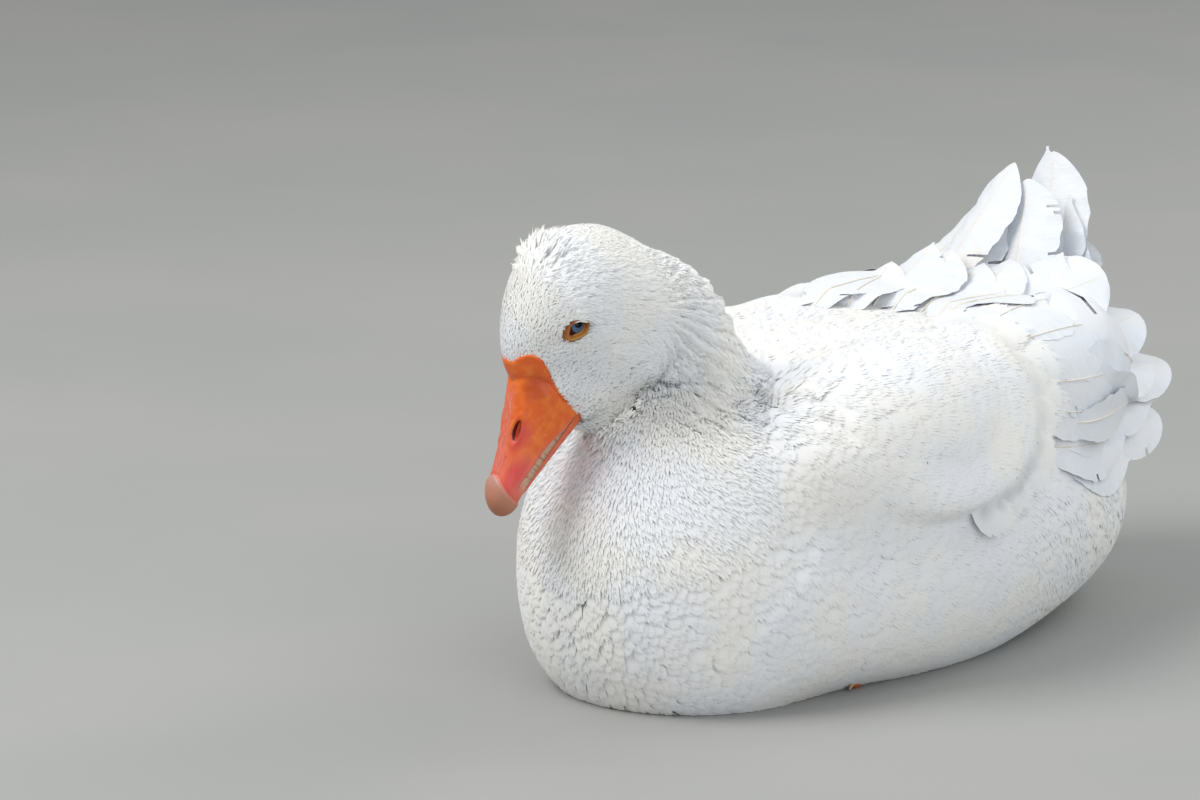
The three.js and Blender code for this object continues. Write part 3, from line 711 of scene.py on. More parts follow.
def upper_details(f, l, u):
    side = np.abs(l)
    # the lobes beside the forehead, and the hollows between and below them
    height = 1.5 * ball(f, side, u, (21, 9.5, -1), (6, 5, 5))
    height += 0.8 * ball(f, side, u, (34, 11, -14), (7, 9, 6))
    height -= 1.3 * ball(f, l, u, (34, 0, 0), (9, 2.3, 7)) + 0.6 * ball(f, side, u, (36, 8, -7), (5, 4, 3))
    # the nostril with its rim, a furrow in front of it and a crack in the ridge
    slit = nostril_distance(f, u)
    height -= NOSTRIL_DEPTH * smooth_step(1.15, 0.5, slit)
    height += 0.7 * np.exp(-((slit - 1.55) / 0.45) ** 2)
    furrow = near_line(np.stack([f, side, u], -1).reshape(-1, 3), (62, 11, -16), (81, 8, -27), 2.0)
    height -= 0.5 * furrow.reshape(f.shape)
    crack = near_line(np.stack([f, side, 0 * u], -1).reshape(-1, 3), (71, 5, 0), (80.5, 3, 0), 0.9)
    height -= 0.6 * crack.reshape(f.shape) * smooth_step(-30, -26, u)
    # the nail stands proud behind a groove, and the comb lies back in the gape
    past = nail_distance(f, l)
    height += 0.7 * smooth_step(-0.2, 1.6, past) - 0.5 * np.exp(-((past + 0.4) / 0.7) ** 2)
    gape = smooth_step(30, 38, f) * smooth_step(84, 72, f)
    teeth = 0.5 + 0.5 * np.cos(2 * math.pi * f / LAMELLA_PITCH + 1.6 * np.sin(f * 0.55))
    above_gap = u - GAPE_LINE - GAPE_WIDENS * smooth_step(34, 60, f)
    recess = smooth_step(-0.2, -1.2, above_gap) * gape
    height -= recess * (1.3 - 0.35 * teeth * (0.6 + 0.4 * np.sin(f * 0.9)))
    height += 0.35 * np.exp(-((above_gap - 0.1) / 0.9) ** 2) * gape
    return height + 0.12 * np.sin(f * 1.3 + 2 * np.sin(u * 0.5)) * smooth_step(46, 26, f)


print("each nostril is", 2 * NOSTRIL_HALF[0], "mm long")


# %% Loft a half of the bill
def settled(place):
    """Spreads the bill's root over the face as far as bare skin goes. Behind that it dips under feathers."""
    points = in_head(*place.T)
    raised = folds(points)
    depth = look_up(points)[0] - raised
    past = past_bare_edge(drape(points, raised, 6))
    wanted = 0.4 - 3.4 * smooth_step(0.3, -2.2, past)
    spread = (depth < wanted) & (past > -2.4) & (place[:, 0] < 50) & (place[:, 2] > -34.4)
    settled_points = drape(points[spread], (wanted + raised)[spread], 6)
    place = place.copy()
    place[spread] = to_head(settled_points)
    return place


def bill_half(name, section, details, reach, rows, columns):
    """Lofts rings from the face to the tip, pushes the details out of them and closes both ends."""
    straight = np.linspace(BILL_FROM, reach - TIP_ROUNDING, rows, endpoint=False)
    round_tip = np.sin(np.linspace(0, 0.499 * math.pi, rows // 4))
    f = np.concatenate([straight, reach - TIP_ROUNDING * (1 - round_tip)])
    rows = len(f)
    f, angle = np.meshgrid(f, full_turn(columns), indexing="ij")
    l, u = section(f, np.cos(angle), np.sin(angle))
    place = np.stack([f, l, u], -1)
    across = np.roll(place, -1, 1) - np.roll(place, 1, 1)
    onward = np.gradient(place, axis=0)
    out = unit(np.cross(across, onward))
    outside = np.sign((out * (place - [0, 0, -25])).sum())
    place = place + outside * out * details(f, l, u)[..., None]
    ends = np.stack([place[0].mean(0), place[-1].mean(0)])
    place = np.concatenate([settled(place.reshape(-1, 3)), ends])
    rim = np.arange(columns)
    fans = []
    for first, centre in ((0, len(place) - 2), ((rows - 1) * columns, len(place) - 1)):
        fan = [first + rim, first + (rim + 1) % columns, np.full(columns, centre), np.full(columns, -1)]
        fans.append(np.stack(fan, -1))
    faces = np.concatenate([grid_faces(rows, columns, closed=True), *fans])
    return make_piece(name, in_head(*place.T), faces, {"head_place": place})


def lower_details(f, l, u):
    crease = np.exp(-((u + 38.2) / 0.8) ** 2) * smooth_step(32, 44, f)
    return 0.15 * np.sin(f * 1.1) * smooth_step(60, 30, f) - 0.3 * crease


bill_upper = bill_half("upper_bill", upper_ring, upper_details, BILL_REACH, 160, 144)
bill_lower = bill_half("lower_bill", lower_ring, lower_details, LOWER_REACH, 80, 72)

# %% [markdown]
# ## Colours of the bill
# The soft sheath is orange where blood vessels are few, pinker round the nostril and towards the tip, and
# the horn nail is the colour of a fingernail. The materials read each point's place along the head's own
# axes, which was stored on the mesh, so a patch of colour sits where its anatomy is. Noise breaks all the
# borders. Shade is painted into the hollow below the lobes and into the nostrils, and a highlight along
# the ridge.

# %% Orange skin, pink tip, horn nail
ORANGE, DEEP_ORANGE, LIGHT_ORANGE = (0.76, 0.115, 0.008), (0.46, 0.045, 0.005), (0.82, 0.18, 0.015)
SALMON, HOT_PINK, DARK_RED_SPECK_AND_SHADE = (0.72, 0.15, 0.11), (0.68, 0.055, 0.060), (0.08, 0.005, 0.005)
HORN, HORN_TIP, HORN_PINK = (0.50, 0.21, 0.135), (0.42, 0.15, 0.075), (0.58, 0.30, 0.27)
COMB, COMB_GAP, WORN_AND_HIGHLIGHT = (0.60, 0.38, 0.25), (0.34, 0.15, 0.08), (0.76, 0.50, 0.40)


def spot(parts, centre, reach):
    """1 at the centre and 0 at reach from it, in the head's axes."""
    squares = [((x - m) / r) ** 2 for x, m, r in zip(parts, centre, reach)]
    return (squares[0] + squares[1] + squares[2]).step(1, 0)


def bill_skin(w):
    """The soft sheath's colour, with the places and patterns that both halves of the bill go on from."""
    place = w.stored("head_place")
    true_f, l, u = place.parts()
    side = w.math("ABSOLUTE", l)
    f = true_f + (w.noise(place, 0.16, 4) - 0.5) * 7
    parts = (f, side, u)
    fine = w.noise(place, 1.1, 4)
    colour = w.noise(place, 0.22, 3).step(0.38, 0.68).mix(ORANGE, LIGHT_ORANGE)
    # Painted shade: a deeper orange in the hollow below each lobe.
    colour = (spot(parts, (33, 10, -9), (12, 8, 9)) * 0.75).mix(colour, DEEP_ORANGE)
    colour = (spot(parts, (19, 9, 1), (6, 7, 5)) * 0.45).mix(colour, SALMON)
    # Painted highlight: the ridge is coloured a paler salmon where light falls along it.
    ridge = side.step(6.5, 2.0) * f.step(36, 46)
    colour = (ridge * 0.6).mix(colour, SALMON)
    colour = (f.step(54, 84) * 0.75).mix(colour, SALMON)
    colour = (spot(parts, (60, 12, -16), (13, 9, 7)) * 0.75).mix(colour, HOT_PINK)
    colour = (spot(parts, (76, 10, -27), (16, 8, 7)) * 0.8).mix(colour, HOT_PINK)
    scratch = w.noise(place, 1.0, 5, (0.16, 1.6, 0.5)).step(0.56, 0.68)
    # The scratches on the ridge are real wear, and their pale colour is also painted as the ridge's
    # highlight.
    colour = (scratch * ridge * 0.65).mix(colour, WORN_AND_HIGHLIGHT)
    colour = (fine.step(0.62, 0.8) * 0.25).mix(colour, WORN_AND_HIGHLIGHT)
    return place, true_f, side, u, fine, scratch * ridge, colour


def upper_bill_colour(w):
    place, f, side, u, fine, worn_and_highlit, colour = bill_skin(w)
    past = f - NAIL_FROM - side * side * NAIL_BEND
    horn = (f + fine * 4).step(80, 91).mix(HORN_PINK, HORN)
    horn = (f + fine * 6).step(92, 99).mix(horn, HORN_TIP)
    speck = w.noise(place, 1.6, 2).step(0.68, 0.74)
    horn = (speck * 0.6).mix(horn, DARK_RED_SPECK_AND_SHADE)
    colour = past.step(-0.3, 0.9).mix(colour, horn)
    rise = (f - NOSTRIL[0]) * NOSTRIL_SLOPE + NOSTRIL[1]
    slit = ((f - NOSTRIL[0]) / NOSTRIL_HALF[0]) ** 2 + ((u - rise) / NOSTRIL_HALF[1]) ** 2
    # Painted shade: the nostril slit is coloured dark red, standing in for the shade inside it.
    colour = slit.step(1.5, 0.8).mix(colour, DARK_RED_SPECK_AND_SHADE)
    phase = f * (2 * math.pi / LAMELLA_PITCH) + w.math("SINE", f * 0.55) * 1.6 + fine * 1.5
    tooth = w.math("COSINE", phase).step(-1.0, -0.7)
    worn_gap = w.noise(place, 0.3, 2).step(0.42, 0.58) * 0.7
    comb = (tooth + worn_gap).step(0.0, 1.0).mix(COMB_GAP, COMB)
    above_gap = u - f.step(34, 60) * GAPE_WIDENS - GAPE_LINE
    in_gape = above_gap.step(-0.3, -1.1) * f.step(33, 37) * f.step(84, 76)
    colour = in_gape.mix(colour, comb)
    lip = above_gap.step(1.6, 0.4) * (1 - in_gape) * f.step(34, 42) * past.step(0.3, -0.8)
    colour = (lip * 0.6).mix(colour, SALMON)
    grain = w.noise(place, 2.6, 4, (0.5, 1, 1))
    return {"Base Color": colour, "Roughness": worn_and_highlit * 0.2 + fine * 0.25 + 0.28, "Normal": w.bump(grain, 0.12)}


def lower_bill_colour(w):
    place, f, _, _, fine, _, colour = bill_skin(w)
    colour = (f.step(30, 50) * 0.55).mix(colour, SALMON)
    colour = (f.step(40, 30) * 0.7).mix(colour, DEEP_ORANGE)
    grain = w.noise(place, 2.6, 4, (0.5, 1, 1))
    return {"Base Color": colour, "Roughness": fine * 0.25 + 0.3, "Normal": w.bump(grain, 0.12)}


sheath = material("bill sheath", upper_bill_colour, 0.4, Coat_Weight=0.12, Coat_Roughness=0.3)
finish_piece(bill_upper, sheath, "bill", "bill_upper")
finish_piece(bill_lower, material("lower bill", lower_bill_colour, 0.45), "bill_lower", "bill_lower")

# %% [markdown]
# ## The eyes
# A farm goose of this colour has steel-blue eyes. The ball is mostly hidden, so what counts is the clear
# front: a bulging cornea over a dark pupil and a finely rayed iris. It is a sphere of rings round the
# line of sight, with a slight bulge in front. The colours follow the distance from that line, which is
# stored on the mesh.

# %% Eyeballs
BALL_PLACE = (-0.7, 18.0, -1.3)
BALL_RADIUS = 7.2
GAZE_BACK = math.radians(8)
PUPIL, PUPIL_RAISED, IRIS, CORNEA_BULGE = 1.9, 0.9, 4.3, 0.5


def eyeball(name, side):
    """A sphere of rings round the line of sight, a little bulged in front."""
    gaze = side * LEFT * math.cos(GAZE_BACK) - FORWARD * math.sin(GAZE_BACK)
    right = unit(np.cross(gaze, UP))
    above = np.cross(right, gaze)
    polar, turn = np.meshgrid(np.linspace(0.02, math.pi - 0.02, 56), full_turn(72), indexing="ij")
    reach = BALL_RADIUS + CORNEA_BULGE * smooth_step(0.75, 0.2, polar)
    around = np.cos(turn)[..., None] * right + np.sin(turn)[..., None] * above
    points = reach[..., None] * (np.cos(polar)[..., None] * gaze + np.sin(polar)[..., None] * around)
    centre = in_head(BALL_PLACE[0], side * BALL_PLACE[1], BALL_PLACE[2])
    iris_place = np.stack([BALL_RADIUS * np.sin(polar), np.cos(turn), np.sin(turn)], -1)
    iris_place[polar > math.pi / 2, 0] = BALL_RADIUS
    values = {"iris_place": iris_place.reshape(-1, 3)}
    faces = grid_faces(*polar.shape, closed=True)
    return make_piece(f"eyeball_{name}", centre + points.reshape(-1, 3), faces, values)


STEEL, PALE_STEEL = (0.06, 0.115, 0.215), (0.15, 0.22, 0.34)
PUPIL_BLACK, EYE_RIM = (0.001, 0.001, 0.001), (0.03, 0.008, 0.006)


def iris_colour(w):
    place = w.stored("iris_place")
    radius, around, above = place.parts()
    rays = w.noise(place, 2.2, 4, (0.5, 6, 6))
    colour = rays.step(0.35, 0.7).mix(STEEL, PALE_STEEL)
    colour = (radius.step(2.9, 2.0) * 0.6).mix(colour, STEEL)
    from_pupil = ((radius * around) ** 2 + (radius * above - PUPIL_RAISED) ** 2) ** 0.5
    colour = (from_pupil + rays * 0.3).step(PUPIL + 0.5, PUPIL - 0.1).mix(colour, PUPIL_BLACK)
    return {"Base Color": (radius + rays * 0.2).step(IRIS - 0.5, IRIS + 0.1).mix(colour, EYE_RIM)}


iris = material("steel-blue eye", iris_colour, 0.3, Specular_IOR_Level=0.05,
                Coat_Weight=0.45, Coat_Roughness=0.03)
for name, side in SIDES:
    finish_piece(eyeball(name, side), iris, "eye", f"eye_{name}")

# %% [markdown]
# ## Eyelids
# Round the eye the feathers stop at a bare rim of ochre skin, pointed in front where the tear corner is.
# The rim is part of the skin, but it is far finer than the rest. So it is laid as its own rings: from
# under the face's feathers up to a rounded crest, then down onto the wet ball.

# %% The bare rim of skin round each eye
# share of the opening's size, and height in millimetres
LID_RINGS = [(0.74, -1.2), (0.80, -0.1), (0.90, 0.35), (1.02, 0.55), (1.12, 0.40), (1.24, 0.1), (1.38, -1.0),
             (1.6, -2.4)]


def opening_edge(turn, size=1.0):
    """A point of the almond, pointed in front and behind, in the head's f and u."""
    along, up = np.cos(turn), np.sin(turn) * np.abs(np.sin(turn)) ** 0.25
    corner = 0.16 * np.maximum(along, 0) ** 6
    x = OPENING_HALF[0] * (along * size + corner)
    y = OPENING_HALF[1] * (up * size - 1.4 * corner)
    cos, sin = math.cos(OPENING_TILT), math.sin(OPENING_TILT)
    return OPENING_MIDDLE[0] + x * cos - y * sin, OPENING_MIDDLE[1] + x * sin + y * cos


def lid_rim(name, side):
    """Rings round the eye's opening, from on the ball to under the feathers."""
    turn = full_turn(96)
    rows = []
    for size, height in LID_RINGS:
        f, u = opening_edge(turn, size)
        inward = smooth_step(1.26, 0.86, size)
        f, u = f - 0.9 * inward, u + 0.2 * inward
        across_ball = (f - BALL_PLACE[0]) ** 2 + (u - BALL_PLACE[2]) ** 2
        over_ball = BALL_PLACE[1] + np.sqrt(np.maximum(BALL_RADIUS ** 2 - across_ball, 9)) + 0.3
        surface = drape(in_head(f, np.full_like(f, side * (EYE_SIDE + 7)), u), height - 0.2, 5)
        on_coat = side * to_head(surface)[:, 1]
        inner = smooth_step(1.12, 0.92, size)
        between = on_coat * (1 - inner) + (over_ball + height * 0.6) * inner
        reach = np.maximum(between, over_ball + height - 0.6)
        rows.append(np.stack([f, side * reach, u], -1))
    places = np.stack(rows).reshape(-1, 3)
    sizes = np.repeat([size for size, _ in LID_RINGS], len(turn))
    ring_place = np.stack([sizes, *np.tile([np.cos(turn), np.sin(turn)], len(rows))], -1)
    faces = grid_faces(len(rows), len(turn), closed=True)
    values = {"ring_place": ring_place, "head_place": places}
    return make_piece(f"lid_rim_{name}", in_head(*places.T), faces, values)


OCHRE, GOLD = (0.38, 0.12, 0.03), (0.50, 0.22, 0.035)
LID_RED, LID_OLIVE = (0.12, 0.012, 0.008), (0.24, 0.12, 0.02)


def lid_colour(w):
    size, front, above = w.stored("ring_place").parts()
    place = w.stored("head_place")
    patch = w.noise(place, 0.9, 3)
    colour = (patch + above * -0.4 + front * 0.3).step(0.4, 0.9).mix(OCHRE, GOLD)
    colour = front.step(-0.6, -0.95).mix(colour, LID_OLIVE)
    colour = (size + patch * 0.04 + front.step(0.7, 1.0) * -0.1).step(0.88, 0.80).mix(colour, LID_RED)
    wrinkle = w.noise(place, 3.0, 3)
    return {"Base Color": colour, "Normal": w.bump(wrinkle, 0.15)}


lid_skin = material("eyelid skin", lid_colour, 0.42, Coat_Weight=0.1)
for name, side in SIDES:
    finish_piece(lid_rim(name, side), lid_skin, "plumage")

# %% [markdown]
# ## Which way the coat lies
# Feathers grow from the bill backwards: over the face, down the neck, round the breast, and along the
# body to the tail. Combing them by hand would take days. Here the lie is a rule: back along the head,
# down the neck's centreline, and tailwards on the body, blended by how much a place belongs to each, and
# laid flat on the surface.

# %% Lie of the coat
def lie(points, out):
    """The way that feathers point at each place, along the surface whose outward direction is given."""
    f = to_head(points)[:, 0]
    over_face = smooth_step(-24, 10, f)[:, None]
    head_way = -FORWARD * over_face + np.array([0.1, 0.95, -0.3]) * (1 - over_face)
    down_neck = np.zeros((len(points), 3))
    for low, high in zip(NECK[:-1], NECK[1:]):
        back = low[:3] - high[:3]
        t = np.clip((points - high[:3]) @ back / (back @ back), 0, 1)
        gap = np.linalg.norm(points - high[:3] - t[:, None] * back, axis=1) - low[3]
        down_neck += np.exp(-np.maximum(gap, 0) / 5)[:, None] * unit(back)
    x, y, z = points.T
    front = smooth_step(-60, -170, y)[:, None]
    hanging = smooth_step(-40, 60, y) * smooth_step(125, 85, z)
    rising = 0.7 * smooth_step(90, 170, y) * smooth_step(100, 150, z)
    fall = -0.12 - 0.35 * smooth_step(120, 60, z) - 0.9 * hanging + rising
    body_way = np.stack([0 * x, 1 - 0.35 * hanging, fall], -1)
    front_way = np.stack([0.9 * np.clip(x / 40, -1, 1), 0 * x, -0.75 + 0 * x], -1)
    body_way = body_way * (1 - front) + front_way * front
    of_head, of_neck = [share[:, None] for share in zone_shares(points)]
    way = head_way * of_head + unit(down_neck) * of_neck + body_way * (1 - of_head - of_neck)
    return unit(way - out * (way * out).sum(1)[:, None])


flank_and_neck = np.array([[110.0, 0, 90], [0, -150, 110]])
flank_way, neck_way = lie(flank_and_neck, outward(flank_and_neck)).round(2)
print("on the flank the coat lies along", flank_way, "and on the neck along", neck_way)

# %% [markdown]
# ## A pattern for a small feather
# A body feather is a soft vane whose barbs come apart at the tip. Alpha-mapped cards could show that, but
# here the fringe is mesh: a few solid rows, then one narrow finger for each bunch of barbs. The same
# pattern, bent, widened and jittered, serves for the whole coat. Only the number of fingers and where
# they part changes.

# %% Feather pattern
class Pattern:
    """Rows of points across a feather up to where it splits, then fingers, each with two points and a tip."""

    def __init__(self, fingers, rows, split, tip_round=0.3):
        row, column = np.meshgrid(np.arange(rows + 1), np.arange(fingers + 1), indexing="ij")
        part, column = row.ravel() / rows, 2 * column.ravel() / fingers - 1
        along = split * part * (1 - tip_round * column ** 2 * part)
        across = column * self.spread(along)
        middle = (2 * np.arange(fingers) + 1) / fingers - 1
        tip = 1 - tip_round * middle ** 2
        halfway = (split * (1 - tip_round * middle ** 2) + tip) / 2
        thick = 0.94 / fingers
        self.along = np.concatenate([along, halfway, halfway, tip])
        half_width = self.spread(halfway)
        self.across = np.concatenate([across, (middle - thick) * half_width, (middle + thick) * half_width,
                                      middle * self.spread(tip) * 1.02])
        self.finger = np.concatenate([np.full(along.shape, fingers), *[np.arange(fingers)] * 3])
        self.loose = np.concatenate([0 * along, *[np.full(fingers, 0.4)] * 2, np.ones(fingers)])
        self.fingers = fingers
        base = len(along)
        k = np.arange(fingers)
        last = rows * (fingers + 1)
        quads = np.stack([last + k, last + k + 1, base + fingers + k, base + k], -1)
        tips = np.stack([base + k, base + fingers + k, base + 2 * fingers + k, -1 + 0 * k], -1)
        self.faces = np.concatenate([grid_faces(rows + 1, fingers + 1), quads, tips])

    @staticmethod
    def spread(along):
        """The vane's half width as a share, from the narrow quill end."""
        return 0.4 + 0.6 * np.sin(np.minimum(along / 0.55, 1) * math.pi / 2)


face_blade = Pattern(1, 1, 0.45, 0)
neck_plume = Pattern(3, 2, 0.6)
body_plume = Pattern(9, 3, 0.78)
pattern_sizes = [len(pattern.along) for pattern in (face_blade, neck_plume, body_plume)]
print("points in a blade, a neck plume and a body plume:", pattern_sizes)

# %% [markdown]
# ## Scattering roots and laying plumes
# Roots are thrown at random over the skin and thinned so that only one is left in each small box, which
# keeps them evenly apart without lining them up. Each plume starts at its root, runs with the lie and is
# draped: its root end lies deep in the coat and its tip just clear of the next. Its shading normals lean
# towards the skin's own, as down scatters light rather than showing facets.

# %% Roots
skin_quads = skin_faces[skin_faces[:, 3] >= 0]
quad_corners = skin_points[skin_quads]
quad_middles = quad_corners.mean(1)
quad_areas = np.linalg.norm(np.cross(quad_corners[:, 2] - quad_corners[:, 0],
                                     quad_corners[:, 3] - quad_corners[:, 1]), axis=1) / 2
quad_head, quad_neck = zone_shares(quad_middles)


def scatter(where, spacing):
    """Points about spacing apart on the squares where the condition holds."""
    weight = quad_areas * where
    pick = chance.choice(len(weight), int(weight.sum() / spacing ** 2 * 2.6), p=weight / weight.sum())
    a, b = chance.random((2, len(pick), 1))
    one, two, three, four = quad_corners[pick].transpose(1, 0, 2)
    roots = (one * (1 - a) + two * a) * (1 - b) + (four * (1 - a) + three * a) * b
    boxes = np.floor(roots / spacing).astype(np.int64) @ np.array([1, 4096, 4096 ** 2])
    return roots[np.sort(np.unique(boxes, return_index=True)[1])]


print("skin area:", round(quad_areas.sum() / 100), "square cm, of which on the head",
      round((quad_areas * quad_head).sum() / 100))


# %% Keep plumage off the bill and the eyes
def inside_bill(points):
    f, l, u = to_head(points).T
    width, low, top = eased(UPPER_WIDTH, f), -GAPE_DROP - eased(TOMIUM, f), eased(CULMEN, f) + CULMEN_OVER
    c = (np.abs(l) / width) ** 1.25
    d = np.maximum((u - low) / (top - low), 0) ** 1.11
    lower = (l / (width - LOWER_INSET)) ** 2 + (np.minimum(u - low, 0) / eased(LOWER_DEPTH, f)) ** 2
    return (f > BILL_FROM) & (((u > low) & (c * c + d * d < 1)) | ((u <= low) & (lower < 1)))


def share_of_lid(points):
    """Less than 1 where the bare lid shows, which is more of it above the eye."""
    f, l, u = to_head(points).T
    share = almond(f, u) / (1.26 + 0.26 * smooth_step(-1.5, 1.5, u))
    return np.where(np.abs(l) > 12, share, 9)


def clear_of_eyes(points):
    """Slides points that cover a lid outwards to its edge."""
    f, l, u = to_head(points).T
    push = 1 / np.clip(share_of_lid(points), 0.25, 1)
    f = OPENING_MIDDLE[0] + (f - OPENING_MIDDLE[0]) * push
    u = OPENING_MIDDLE[1] + (u - OPENING_MIDDLE[1]) * push
    return in_head(f, l, u)


# %% Lay plumes
BAKE_PATCH = 0.0015


def unrolled(points, origin, axis, side, span):
    """Place on the skin unrolled round an axis: the way round it, and how far along."""
    from_origin = points - np.array(origin)
    axis, side = unit(np.array(axis, float)), np.array(side, float)
    angle = np.arctan2(from_origin @ side, from_origin @ np.cross(axis, side))
    return 0.02 + 0.96 * np.stack([0.5 + angle / (2 * math.pi), from_origin @ axis / span], -1)


def plumes(roots, pattern, length, width, tip_height, camber, wander, loose, lift, bend,
           stiff=0.0, sunk=0.85):
    """Points, normals and UV patches of a plume at each root. length and width may differ from root to root.

    A stiff plume keeps the height of the fold it grows on instead of following the folds. sunk is the share
    of the coat's depth that the root lies under, and bend how far the shading follows the plume's own slope.
    """
    count = len(roots)
    length, width = [np.broadcast_to(np.asarray(x, float), count)[:, None] for x in (length, width)]
    out = outward(roots)
    way = lie(roots, out)
    across = np.cross(way, out)
    turn = chance.normal(0, wander, (count, 1))
    way, across = way * np.cos(turn) + across * np.sin(turn), across * np.cos(turn) - way * np.sin(turn)
    jitter = chance.normal(0, 1, (3, count, pattern.fingers + 1))[:, :, pattern.finger] * pattern.loose
    along = pattern.along + jitter[0] * 0.06
    aside = pattern.across + jitter[1] * loose
    points = roots[:, None] + (length * along)[..., None] * way[:, None]
    points = points + (width / 2 * aside)[..., None] * across[:, None]
    left = np.clip(1 - along, 0, 1)
    depth = coat_depth(roots)[:, None] * sunk
    height = tip_height * along - depth * left ** 1.5 - camber * aside ** 2 + lift * jitter[2]
    flat = points.reshape(-1, 3)
    ground = folds(flat) * (1 - stiff) + np.repeat(folds(roots), len(pattern.along)) * stiff
    flat = drape(flat, height.ravel() + ground)
    slope_along = (depth * 1.5 * left ** 0.5 + tip_height) / length
    slope_across = 4 * camber * aside / width
    normals = folded_outward(flat).reshape(points.shape) - slope_along[..., None] * way[:, None] * bend
    normals = unit(normals + slope_across[..., None] * across[:, None])
    patch = np.stack([aside, 2 * along - 1], -1) * BAKE_PATCH
    return flat, normals.reshape(-1, 3), patch


def sound_normals(points, faces, normals, least=0.35):
    """Takes the mesh's own normal wherever the wished one would face away from its surface."""
    a, b, c = points[faces[:, 0]], points[faces[:, 1]], points[faces[:, 2]]
    face_normals = np.cross(b - a, c - a)
    own = np.zeros_like(points)
    for corner in faces.T:
        used = corner >= 0
        for axis in range(3):
            own[:, axis] += np.bincount(corner[used], face_normals[used, axis], len(points))
    own = unit(own)
    weak = (own * normals).sum(1) < least
    return np.where(weak[:, None], own, normals)


def coat_piece(name, finish, slot, roots, pattern, unroll, length, width, guard=None, **shape):
    """One piece of the coat: a plume at every root. guard may move points out of the way."""
    points, normals, patch = plumes(roots, pattern, length, width, **shape)
    if guard is not None:
        points = guard(points)
    points[:, 2] = np.maximum(points[:, 2], FLOOR_GAP)
    bake = (unrolled(roots, *unroll)[:, None] + patch).reshape(-1, 2)
    size = len(pattern.along)
    starts = size * np.arange(len(roots))[:, None, None]
    faces = np.where(pattern.faces >= 0, pattern.faces + starts, -1).reshape(-1, 4)
    normals = sound_normals(points, faces, normals)
    piece = make_piece(name, points, faces, maps={"OFBake": bake}, normals=normals)
    return finish_piece(piece, finish, slot)


# Each has an origin, an axis, the direction that the turn is counted from, and a length.
HEAD_UNROLL = (in_head(45.0, 0.0, -10.0), -FORWARD, LEFT, 120)
NECK_UNROLL = ([0, -150, 225], [0, 0.12, -1], [1, 0, 0], 190)
BODY_UNROLL = ([0, -215, 84], [0, 1, 0], [1, 0, 0], 440)

# %% Face and neck
LENGTH_BY_LID = 1.4

face_roots = scatter(quad_head > 0.4, 0.72)
f, l, u = to_head(face_roots).T
bare = np.where(u > -GAPE_DROP, (past_bare_edge(face_roots) > 0) & (f > 18), inside_bill(face_roots))
face_roots = face_roots[(bare < 1) & (share_of_lid(face_roots) > 1)]
face_length = 3.0 + 3.5 * smooth_step(28, -30, to_head(face_roots)[:, 0])
face_way = lie(face_roots, outward(face_roots))
reach = [face_roots + face_way * (face_length * share)[:, None] for share in (0.35, 0.7, 1.0)]
over_lid = np.any([share_of_lid(place) < 1 for place in reach], axis=0)
face_length = np.where(over_lid, LENGTH_BY_LID, face_length)
coat_piece("face_plush", down, "plumage", face_roots, face_blade, HEAD_UNROLL, face_length, 0.65,
           clear_of_eyes, tip_height=0.1, camber=0.0, wander=0.3, loose=0.5, lift=0.07, bend=0.05)

neck_roots = scatter((quad_neck > 0.35) & (quad_head < 0.6), 2.0)
neck_length = 9 + 7 * smooth_step(190, 90, neck_roots[:, 2])
coat_piece("neck_plumes", down, "plumage", neck_roots, neck_plume, NECK_UNROLL, neck_length,
           neck_length * 0.36, tip_height=0.5, camber=0.3, wander=0.14, loose=0.16, lift=0.2, bend=0.35)

# %% Body coat, in four pieces
BODY_PIECES = [("breast_plumes", 4.0), ("back_plumes", 5.8),
               ("left_flank_plumes", 5.8), ("right_flank_plumes", 5.8)]
BREAST_ENDS, FLANK_TOP, UNDERSIDE = -110, 120, 1.5


def body_region(points):
    """Which of the four pieces each place belongs to."""
    x, y, z = points.T
    return np.where(y < BREAST_ENDS, 0, np.where(z > FLANK_TOP, 1, np.where(x > 0, 2, 3)))


body_quads = (quad_neck < 0.6) & (quad_head < 0.5)
for region, (name, spacing) in enumerate(BODY_PIECES):
    roots = scatter(body_quads & (body_region(quad_middles) == region), spacing)
    roots = roots[roots[:, 2] > UNDERSIDE]
    grown = smooth_step(-190, -60, roots[:, 1])
    length = (13 + 15 * grown) * (1 - 0.35 * smooth_step(0.1, 0.6, zone_shares(roots)[1]))
    coat_piece(name, down, "plumage", roots, body_plume, BODY_UNROLL, length, length * 0.55,
               tip_height=0.2, camber=0.25, wander=0.12, loose=0.05, lift=0.08, bend=0.2, sunk=0.5)

# %% [markdown]
# ## Ruffle, fringe and coverts
# A few places stand out of the smooth coat: the ruffled crown, the fringe of the cheeks over the throat,
# and the broad coverts along the lower edge of a folded wing's shoulder. They are laid as the other
# plumes are, but lifted at the tip, and the last two are stiff. A stiff plume doesn't sink into the next
# fold, so it juts over it.

# %% Ruffled crown and the fringe of the throat
crown_roots = scatter(quad_head > 0.3, 2.0)
f, l, u = to_head(crown_roots).T
crown_roots = crown_roots[(u > 7) & (np.abs(l) < 17) & (f > -34) & (f < -6)]
f, l, _ = to_head(crown_roots).T
raised = np.exp(-((f + 20) / 7) ** 2 - (l / 13) ** 2)
coat_piece("crown_ruffle", down, "plumage", crown_roots, neck_plume, HEAD_UNROLL, 9 + 2 * raised, 2.6,
           tip_height=(0.6 + 6.0 * raised)[:, None], camber=0.2, wander=0.35, loose=0.12, lift=0.6, bend=0.1)

